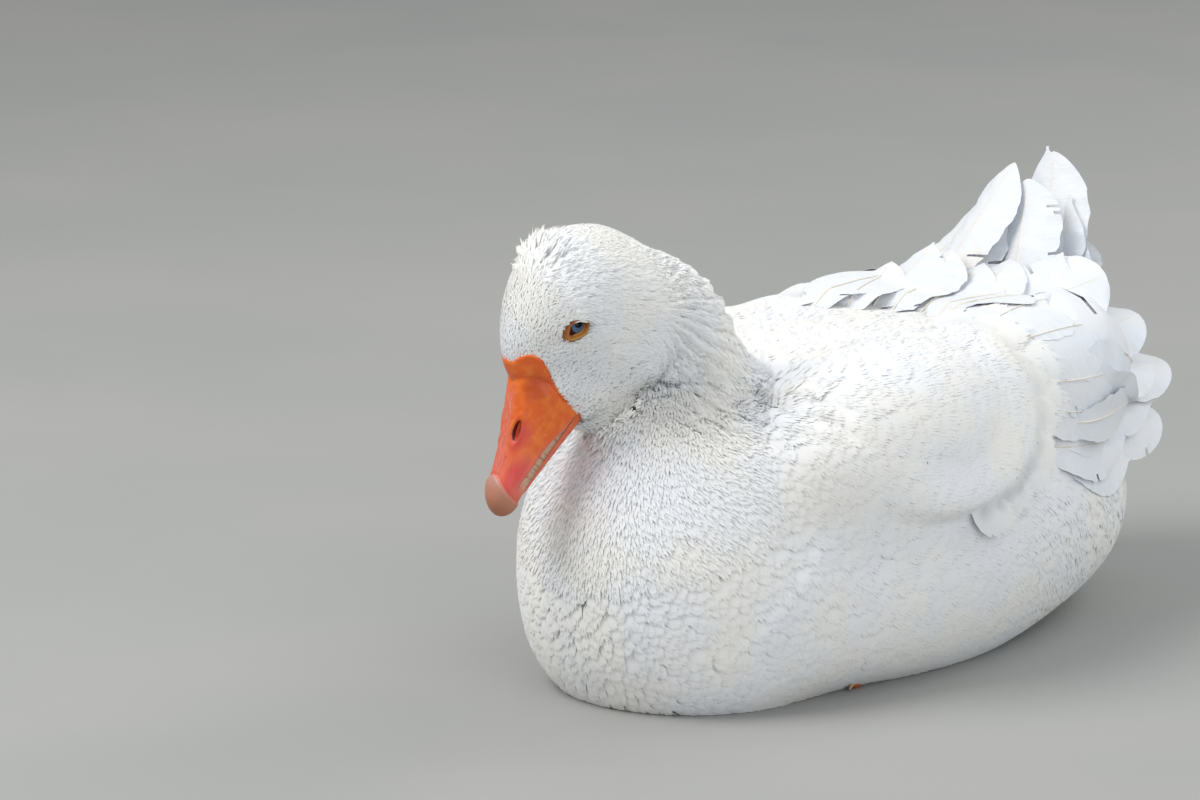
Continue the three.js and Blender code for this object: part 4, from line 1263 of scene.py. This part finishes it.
fringe_quads = (quad_head > 0.5) & (quad_head < 0.93) & (to_head(quad_middles)[:, 2] < -22)
fringe_roots = scatter(fringe_quads, 1.1)
fringe_roots = fringe_roots[~inside_bill(fringe_roots)]
coat_piece("throat_fringe", down, "plumage", fringe_roots, face_blade, HEAD_UNROLL, 8, 1.0,
           tip_height=0.8, camber=0.0, wander=0.2, loose=0.4, lift=0.15, bend=0.05, stiff=0.5, sunk=0.5)

# %% Coverts of the wings
covert = Pattern(15, 3, 0.86, 0.34)
lobe_quads = wing_lobe(quad_middles)
low_edge = smooth_step(-60, -10, quad_middles[:, 1] - 0.8 * (quad_middles[:, 2] - 110))
on_edge = (lobe_quads > 0.74) & (lobe_quads < 0.98) & (low_edge > 0.5)
on_wing = (np.abs(quad_middles[:, 0]) > 48) & body_quads & (quad_middles[:, 1] > BREAST_ENDS)
for name, side in SIDES:
    roots = scatter(on_wing & on_edge & (quad_middles[:, 0] * side > 0), 12)
    roots = roots[np.argsort(-wing_lobe(roots))]
    coat_piece(f"{name}_wing_coverts", down, "wing_feathers", roots, covert, BODY_UNROLL, 36, 25,
               tip_height=1.6, camber=1.2, wander=0.22, loose=0.02, lift=0.2, bend=0.3, stiff=1.0, sunk=0.6)

# %% [markdown]
# ## Long feathers
# A wing or tail feather has a stiff shaft, and on either side a vane of barbs that leave it at a slant.
# The barbs hold together in bunches, and where the bunches come apart the vane shows ragged notches. So
# each vane is laid as a sheet of barbs, bunch by bunch, with the squares between two bunches left out
# near the edge. The shafts are thin tapering tubes and go into a piece of their own, since they are horn
# and not down.

# %% A vane and its shaft
BARBS, ACROSS = 84, 6
BUNCH_SIZES = (4, 12)
SLANT = 0.12
BROAD_FROM = 44
SHAFT_RADIUS, SHAFT_TIP = 0.6, 0.06
SHAFT_SIDES, SHAFT_STEPS = 6, 14


def vane_width(s, pointed):
    """Half width of a vane along its shaft, as a share of the widest."""
    tip = np.clip(1 - (np.maximum(s - 0.66, 0) / 0.34) ** 2, 0, 1) ** pointed
    return (0.36 + 0.64 * np.sin(np.minimum(s / 0.6, 1) * math.pi / 2)) * np.maximum(tip, 0.05)


def shaft_line(feather, s):
    """Points along the shaft, with the directions across the vane and out of it."""
    root, tip, face, _, curl, bow = feather
    root, tip = np.array(root, float), np.array(tip, float)
    length = np.linalg.norm(tip - root)
    way = unit(tip - root)
    across = unit(np.cross(way, np.array(face, float)))
    over = np.cross(across, way)
    s = np.asarray(s)[..., None]
    bend = over * (curl * s * (s - 1)) + across * (bow * s * (1 - s))
    return root + length * (way * s + bend), across, over


def above_coat(points, s, clearance):
    """Lifts what lies too deep until it clears the coat, but lets the root stay in it."""
    d, out = look_up(points)
    wanted = clearance * smooth_step(0.05, 0.3, s) - 4 * smooth_step(0.16, 0, s)
    return points + unit(out) * np.maximum(wanted - d, 0)[:, None]


def lay_vane(feather, clearance):
    """Points, vane places and faces of a feather's two webs."""
    bunch = np.repeat(np.arange(BARBS), chance.integers(*BUNCH_SIZES, BARBS))[:BARBS]
    s = np.linspace(0, 1, BARBS)
    middle = np.array([s[bunch == b].mean() for b in bunch])
    q = np.linspace(0, 1, ACROSS + 1)
    pointed = chance.uniform(0.45, 0.75) if feather[3] > BROAD_FROM else chance.uniform(0.8, 1.7)
    parts = []
    for side in (-1, 1):
        short = 1 - (0.035 * chance.random(BARBS)[bunch] + 0.01 * chance.random(BARBS)) * (s < 0.75)
        pulled = s[:, None] + (middle - s)[:, None] * 0.22 * q ** 2
        along = np.minimum(pulled + SLANT * q * (1 - s[:, None]) * short[:, None], 1)
        aside = side * q * short[:, None] * vane_width(along, pointed)
        parts.append(np.stack([along, aside, np.broadcast_to(s[:, None], along.shape)], -1))
    along, aside, barb = np.stack(parts).reshape(-1, 3).T
    centre, across, over = shaft_line(feather, along)
    width = feather[3]
    cup = -0.16 * aside ** 2 + 0.012 * np.sin(barb * 40 + aside * 5) * np.abs(aside)
    points = centre + across * (aside * width / 2)[:, None] + over * (cup * width)[:, None]
    points = above_coat(points, along, clearance)
    far_web = grid_faces(BARBS, ACROSS + 1)[:, ::-1]
    faces = np.concatenate([far_web, grid_faces(BARBS, ACROSS + 1, first=BARBS * (ACROSS + 1))])
    parted = np.tile(np.repeat(bunch[1:] != bunch[:-1], ACROSS), 2)
    cut = np.repeat(chance.random(2 * (BARBS - 1)) * 4.5 + 0.6, ACROSS)
    outer = np.tile(q[1:], 2 * (BARBS - 1))
    return points, np.stack([along, aside, barb], -1), faces[~(parted & (outer > cut))]


def lay_shaft(feather, clearance):
    """Points of a thin tapering tube, ring by ring along a feather's shaft."""
    s = np.linspace(0, 0.96, SHAFT_STEPS)
    centre, across, over = shaft_line(feather, s)
    centre = above_coat(centre, s, clearance)
    turn = full_turn(SHAFT_SIDES)
    radius = (SHAFT_RADIUS * (1 - s) ** 0.7 + SHAFT_TIP)[:, None, None]
    ring = np.cos(turn)[:, None] * across + np.sin(turn)[:, None] * over * 0.8
    return (centre[:, None] + radius * ring).reshape(-1, 3)


# %% Vane and shaft finishes
BLUE_WHITE, STAIN = (0.84, 0.88, 0.94), (0.86, 0.79, 0.68)
SHAFT_CREAM, SHAFT_PALE = (0.87, 0.80, 0.66), (0.90, 0.87, 0.79)


def vane_white(w):
    vane_place = w.stored("vane_place")
    along, aside, _ = vane_place.parts()
    place = w.own_place()
    hairs = w.noise(vane_place, 1.0, 2, stretch=(2, 3, 240))
    colour = w.noise(place, 40).step(0.35, 0.65).mix(BLUE_WHITE, COOL_WHITE)
    stained = w.noise(place, 28, 3, stretch=(1, 1, 1.6)).step(0.60, 0.72) * along.step(0.75, 0.3) * 0.45
    near_shaft = (aside * aside).step(0.05, 0.0) * 0.12
    return {"Base Color": (stained + near_shaft).mix(colour, STAIN), "Normal": w.bump(hairs, 0.28)}


def shaft_horn(w):
    streak = w.noise(w.own_place(), 120)
    return {"Base Color": streak.step(0.3, 0.7).mix(SHAFT_CREAM, SHAFT_PALE)}


vane_finish = material("white vane", vane_white, 0.55, Sheen_Weight=0.15, Specular_IOR_Level=0.35)
quill_finish = material("feather shaft", shaft_horn, 0.4)


FIRST_CLEARANCE, LAYER_STEP, SHAFT_LIFT = 0.8, 0.25, 0.35


def disturbed(feather, amount):
    """The feather a little out of its ordered place, as in a bird at rest."""
    root, tip, face, width, curl, bow = feather
    shift, sway, roll = chance.normal(0, 1, (3, 3)) * amount * np.array([[1.5], [3.0], [0.16]])
    return (root + shift, tip + sway, face + roll,
            width * (1 + 0.06 * roll[0]), curl + 0.25 * roll[1], bow + 0.25 * roll[2])


def feather_pieces(name, slot, feathers, disorder):
    """One piece for all the vanes, and one for all their shafts."""
    vanes, quills, firsts = [], [], [0, 0]
    for layer, feather in enumerate(disturbed(each, disorder) for each in feathers):
        height = FIRST_CLEARANCE + LAYER_STEP * layer
        points, places, faces = lay_vane(feather, height)
        patch = np.stack([places[:, 1], 2 * places[:, 0] - 1], -1) * BAKE_PATCH
        bake = unrolled(np.array([feather[0]], float), *BODY_UNROLL) + patch
        vanes.append((points, places, bake, faces + firsts[0]))
        firsts[0] += len(points)
        shaft = lay_shaft(feather, height + SHAFT_LIFT)
        quills.append((shaft, grid_faces(SHAFT_STEPS, SHAFT_SIDES, closed=True, first=firsts[1])))
        firsts[1] += len(shaft)
    points, places, bake, faces = [np.concatenate(column) for column in zip(*vanes)]
    points[:, 2] = np.maximum(points[:, 2], FLOOR_GAP)
    piece = make_piece(name, points, faces, {"vane_place": places}, {"OFBake": bake})
    finish_piece(piece, vane_finish, slot)
    points, faces = [np.concatenate(column) for column in zip(*quills)]
    finish_piece(make_piece(f"{name}_quills", points, faces), quill_finish, slot)


# %% The tail
TAIL_FACE = (-0.1, -0.78, 0.6)
TAIL = [  # root, tip, face, width, curl, bow
    ((22, 152, 138), (36, 186, 194), TAIL_FACE, 26, 0.08, 0.02),
    ((-24, 158, 140), (-42, 203, 218), (-0.2, -0.75, 0.6), 34, 0.10, -0.05),
    ((15, 178, 165), (-7, 206, 240), TAIL_FACE, 36, 0.10, 0.02),
    ((30, 178, 160), (23, 207, 190), TAIL_FACE, 22, 0.10, 0.04),
    ((17, 157, 146), (22, 192, 217), TAIL_FACE, 32, 0.10, 0.04),
    ((-15, 156, 150), (-24, 195, 220), (-0.2, -0.75, 0.6), 34, 0.10, -0.03),
    ((20, 152, 150), (3, 201, 240), TAIL_FACE, 46, 0.14, 0.05),
    ((-13, 124, 162), (-12, 188, 226), (-0.2, -0.75, 0.6), 34, 0.08, -0.04),
    ((-24, 116, 162), (-12, 182, 235), (-0.2, -0.75, 0.6), 42, 0.06, -0.12),
    ((18, 136, 158), (1, 176, 226), TAIL_FACE, 46, 0.08, 0.0),
    ((24, 126, 160), (34, 162, 192), TAIL_FACE, 36, 0.10, 0.04),
]
feather_pieces("tail_fan", "tail_feathers", TAIL, disorder=0.4)

# %% The wings
WING = [  # on the left wing; the right one mirrors it
    ((96, 60, 100), (88, 150, 84), (0.8, 0.1, 0.5), 36, 0.06, 0.03),
    ((86, 76, 122), (70, 209, 95), (0.7, 0.1, 0.7), 46, 0.06, 0.04),
    ((80, 80, 134), (76, 196, 108), (0.7, 0.1, 0.7), 42, 0.06, 0.02),
    ((68, 84, 144), (62, 229, 125), (0.45, -0.1, 0.9), 46, 0.08, 0.02),
    ((72, 78, 142), (70, 200, 128), (0.5, -0.1, 0.9), 42, 0.05, 0.0),
    ((60, 88, 152), (54, 212, 149), (0.4, -0.2, 0.9), 46, 0.07, -0.02),
    ((100, 44, 112), (90, 142, 98), (0.8, 0.0, 0.6), 40, 0.05, 0.04),
    ((96, 48, 122), (88, 156, 110), (0.8, 0.0, 0.6), 40, 0.05, 0.03),
    ((90, 52, 132), (84, 162, 122), (0.7, 0.0, 0.7), 42, 0.05, 0.02),
    ((82, 54, 142), (76, 168, 136), (0.6, -0.1, 0.8), 42, 0.05, 0.0),
    ((72, 56, 150), (66, 172, 148), (0.5, -0.1, 0.9), 42, 0.06, 0.0),
    ((60, 60, 158), (54, 172, 162), (0.3, -0.2, 0.9), 42, 0.06, -0.02),
    ((94, 30, 130), (90, 118, 122), (0.8, 0.0, 0.6), 36, 0.05, 0.03),
    ((86, 32, 142), (82, 122, 136), (0.7, 0.0, 0.7), 36, 0.05, 0.02),
    ((76, 34, 152), (70, 124, 148), (0.5, -0.1, 0.9), 36, 0.06, 0.0),
    ((64, 36, 160), (58, 124, 160), (0.3, -0.2, 0.9), 36, 0.06, 0.0),
]
INNER = [
    ((46, 80, 160), (38, 178, 176), (0.1, -0.35, 0.9), 50, 0.10, -0.05),
    ((20, 92, 162), (48, 176, 156), (0.2, -0.4, 0.9), 40, 0.08, 0.0),
    ((20, 98, 168), (60, 168, 180), (0.45, -0.6, 0.65), 56, 0.10, 0.10),
    ((16, 72, 164), (12, 147, 186), (0.0, -0.5, 0.85), 44, 0.10, 0.0),
    ((36, 50, 158), (52, 110, 166), (0.15, -0.4, 0.9), 34, 0.24, 0.10),
    ((6, 66, 164), (1, 138, 187), (0.0, -0.5, 0.85), 42, 0.10, 0.0),
    ((28, 52, 162), (28, 120, 174), (0.1, -0.4, 0.9), 36, 0.12, 0.0),
    ((92, 66, 118), (88, 146, 121), (0.75, -0.2, 0.6), 34, 0.10, 0.0),
]
FAR = [
    ((-52, 96, 150), (-50, 228, 196), (-0.2, -0.5, 0.85), 40, 0.05, 0.02),
    ((-55, 96, 150), (-58, 245, 218), (-0.2, -0.5, 0.85), 42, 0.08, -0.06),
    ((-50, 92, 154), (-48, 236, 208), (-0.2, -0.5, 0.85), 40, 0.06, 0.02),
    ((-44, 90, 158), (-36, 210, 198), (-0.2, -0.5, 0.85), 42, 0.06, 0.02),
    ((-52, 80, 158), (-54, 188, 187), (-0.15, -0.3, 0.9), 46, 0.08, -0.05),
    ((-38, 84, 162), (-28, 190, 196), (-0.15, -0.3, 0.9), 42, 0.06, 0.02),
    ((-28, 88, 164), (-14, 176, 194), (-0.1, -0.4, 0.9), 42, 0.06, 0.0),
    ((-48, 54, 158), (-48, 150, 178), (-0.15, -0.3, 0.9), 44, 0.10, -0.04),
    ((-36, 58, 164), (-30, 146, 182), (-0.15, -0.3, 0.9), 40, 0.08, 0.0),
    ((-20, 58, 166), (-29, 129, 195), (-0.1, -0.5, 0.85), 40, 0.10, -0.04),
    ((-8, 60, 166), (-15, 132, 191), (-0.05, -0.5, 0.85), 42, 0.10, 0.0),
    ((-26, 42, 164), (-38, 105, 185), (-0.15, -0.4, 0.9), 36, 0.12, -0.06),
    ((-42, 30, 162), (-40, 104, 178), (-0.15, -0.3, 0.9), 36, 0.10, -0.04),
]


def mirrored(feather):
    (x, y, z), (tip_x, tip_y, tip_z), (face_x, face_y, face_z), width, curl, bow = feather
    return (-x, y, z), (-tip_x, tip_y, tip_z), (-face_x, face_y, face_z), width, curl, -bow


RIGHT_WING = [mirrored(feather) for feather in WING] + FAR
feather_pieces("left_wing_feathers", "wing_feathers", WING + INNER, disorder=0.6)
feather_pieces("right_wing_feathers", "wing_feathers", RIGHT_WING, disorder=0.4)

# %% [markdown]
# ## Legs and feet
# At rest the shanks lie flat under the belly and the webbed feet point forward. Toes, web and shank are
# one skin, so they are melted together as the body was: bars for the bones, and a fan of thin bars for
# the web, which leaves faint ribs in it as in a real foot. The scales are too small to model and are left
# to the finish. The claws are short horn cones of their own.

# %% Shank, toes and web
TOE_ROOT, HEEL, TOE_LENGTH = (50.0, -14.0), (64.0, 84.0), 74.0
TOES = [(-24, 0.86), (0, 1.0), (22, 0.9)]  # angle in degrees, share of the toe length
TOE_STATIONS = [(0, 6, 5.4), (0.45, 4.4, 3.6), (0.55, 5, 4.4), (0.8, 4, 3.3), (1, 4, 3.6)]
WEB_ANGLES, WEB_REACH = (-24, -12, 0, 11, 22), (0.84, 0.74, 0.96, 0.77, 0.88)
CLAW_LENGTH = 0.13
FOOT_CELL = 1.2


def toward(side, degrees, reach):
    """A place in plan, at a share of the toe length from the toes' root."""
    angle = math.radians(degrees)
    x, y = TOE_ROOT
    return side * (x + TOE_LENGTH * reach * math.sin(angle)), y - TOE_LENGTH * reach * math.cos(angle)


def toe_bar(side, degrees, stations):
    """A bar from the toes' root outwards; each station has its reach, height and radius."""
    return sweep([[*toward(side, degrees, reach), z, radius] for reach, z, radius in stations])


def foot_shape(side):
    """The field of a shank with its three toes and the web between them."""
    x, y = HEEL
    shank = sweep([[side * (x + 1), y + 8, 6.2, 5], [side * x, y, 7.6, 7], [side * (x - 3), y - 16, 6.4, 5.6],
                   [side * (x - 9), y - 50, 6, 5], [side * (TOE_ROOT[0] + 1), TOE_ROOT[1] + 16, 6.6, 6],
                   [side * TOE_ROOT[0], TOE_ROOT[1] - 4, 6.4, 6]])
    toes = [toe_bar(side, degrees, [(reach * share, z, radius) for share, z, radius in TOE_STATIONS])
            for degrees, reach in TOES]
    web = [toe_bar(side, degrees, [(0.1, 3.2, 2.6), (np.interp(degrees, WEB_ANGLES, WEB_REACH), 2.2, 1.6)])
           for degrees in np.linspace(-24, 22, 15)]
    return blend(3, shank, *toes, *web)


def claws(side):
    """Points and faces of three bent cones, one on the end of each toe."""
    t, turn = np.meshgrid(np.linspace(0, 1, 9), full_turn(12), indexing="ij")
    points, faces = [], []
    for row, (degrees, reach) in enumerate(TOES):
        x, y = toward(side, degrees, reach + CLAW_LENGTH * t)
        radius = 2.3 * (1 - t) ** 0.7 + 0.12
        places = np.stack([x + radius * np.cos(turn), y, 4.0 - 2.4 * t ** 2 + radius * np.sin(turn)], -1)
        points.append(places.reshape(-1, 3))
        faces.append(grid_faces(*t.shape, closed=True, first=row * t.size))
    return np.concatenate(points), np.concatenate(faces)


# %% Finish and lay the feet
FOOT_ORANGE, FOOT_RED, SCALE_GAP = (0.72, 0.17, 0.02), (0.58, 0.10, 0.015), (0.30, 0.06, 0.02)
CLAW_BROWN, CLAW_PALE = (0.42, 0.27, 0.16), (0.60, 0.45, 0.30)
SCALES_PER_METRE = 420.0
FOOT_GRID_LOW = {"left": (8.0, -98.0, -3.0), "right": (-104.0, -98.0, -3.0)}
FOOT_GRID_COUNT = (80, 166, 18)


def scaly(w):
    place = w.own_place()
    scales = w.node("ShaderNodeTexVoronoi", None, {"Vector": place, "Scale": SCALES_PER_METRE})
    colour = w.noise(place, 60).step(0.35, 0.7).mix(FOOT_ORANGE, FOOT_RED)
    colour = (scales.step(0.35, 0.8) * 0.5).mix(colour, SCALE_GAP)
    return {"Base Color": colour, "Normal": w.bump(1 - scales, 0.5)}


def claw_horn(w):
    streak = w.noise(w.own_place(), 300)
    return {"Base Color": streak.step(0.3, 0.7).mix(CLAW_BROWN, CLAW_PALE)}


foot_skin, claw_finish = material("scaly orange skin", scaly, 0.5), material("claw horn", claw_horn, 0.35)
for name, side in SIDES:
    low = np.array(FOOT_GRID_LOW[name])
    values = sampled(foot_shape(side), low, FOOT_CELL, FOOT_GRID_COUNT)
    points, faces = net(values, low, FOOT_CELL)
    points[:, 2] = np.maximum(points[:, 2], FLOOR_GAP)
    foot = make_piece(f"webbed_foot_{name}", points, faces)
    finish_piece(foot, foot_skin, "leg_skin", f"leg_{name}", f"foot_{name}")
    points, faces = claws(side)
    points[:, 2] = np.maximum(points[:, 2], FLOOR_GAP)
    finish_piece(make_piece(f"claws_{name}", points, faces), claw_finish, "leg_skin")

# %% [markdown]
# ## Floor, light and camera
# A plain pale floor and big soft lights, as in a studio, show white feathers best: the shading then comes
# from the form. The camera is set by the angle it looks from, its height above the horizon and its lens.

# %% Camera
CAMERA_AZIMUTH, CAMERA_ELEVATION = math.radians(40), math.radians(12)
CAMERA_DISTANCE, ASIDE, RAISED, LOOK_HEIGHT = 2674, -123.0, 29.4, 100
LENS = 150

away = np.array([math.sin(CAMERA_AZIMUTH) * math.cos(CAMERA_ELEVATION),
                 -math.cos(CAMERA_AZIMUTH) * math.cos(CAMERA_ELEVATION), math.sin(CAMERA_ELEVATION)])
camera_right = np.array([math.cos(CAMERA_AZIMUTH), math.sin(CAMERA_AZIMUTH), 0])
camera_up = np.cross(away, camera_right)
camera_place = [0, 0, LOOK_HEIGHT] + ASIDE * camera_right + RAISED * camera_up + CAMERA_DISTANCE * away
camera = bpy.data.objects.new("camera", bpy.data.cameras.new("camera"))
camera.data.lens = LENS
turned = Matrix(np.stack([camera_right, camera_up, away], 1).tolist()).to_4x4()
camera.matrix_world = Matrix.Translation(((camera_place + SHIFT) * MM).tolist()) @ turned
bpy.context.scene.collection.objects.link(camera)
bpy.context.scene.camera = camera
print("camera at", [round(x, 3) for x in camera.location])


# %% Floor and lights
FLOOR_SIZE = 30
FLOOR_GREY, FLOOR_PALE = (0.36, 0.37, 0.36), (0.39, 0.39, 0.38)
LIGHTS = [  # name, place, size, power, colour
    ("key", (-0.9, -1.6, 2.4), 1.6, 58, (1.0, 0.985, 0.96)),
    ("fill", (2.6, -1.2, 1.3), 2.4, 28, (0.93, 0.96, 1.0)),
    ("rim", (0.6, 2.4, 2.0), 1.8, 26, (1.0, 0.99, 0.97)),
]
MIDDLE = Vector((0, 0, 0.1))
STUDIO_COLOUR, STUDIO_STRENGTH = (0.84, 0.86, 0.87, 1), 0.55


def floor_finish(w):
    return {"Base Color": w.noise(w.own_place(), 3).step(0.3, 0.7).mix(FLOOR_GREY, FLOOR_PALE)}


for name, place, size, power, colour in LIGHTS:
    light = bpy.data.objects.new(name, bpy.data.lights.new(name, "AREA"))
    light.data.size = size
    light.data.energy = power
    light.data.color = colour
    light.location = place
    light.rotation_euler = (MIDDLE - Vector(place)).to_track_quat("-Z", "Y").to_euler()
    bpy.context.scene.collection.objects.link(light)

bpy.ops.mesh.primitive_plane_add(size=FLOOR_SIZE)
floor = bpy.context.object
floor.name = "floor"
floor.data.materials.append(material("pale floor", floor_finish, 0.9))

world = bpy.data.worlds.new("studio")
world.use_nodes = True
world.node_tree.nodes["Background"].inputs["Color"].default_value = STUDIO_COLOUR
world.node_tree.nodes["Background"].inputs["Strength"].default_value = STUDIO_STRENGTH
bpy.context.scene.world = world
bpy.context.scene.view_settings.view_transform = "Standard"
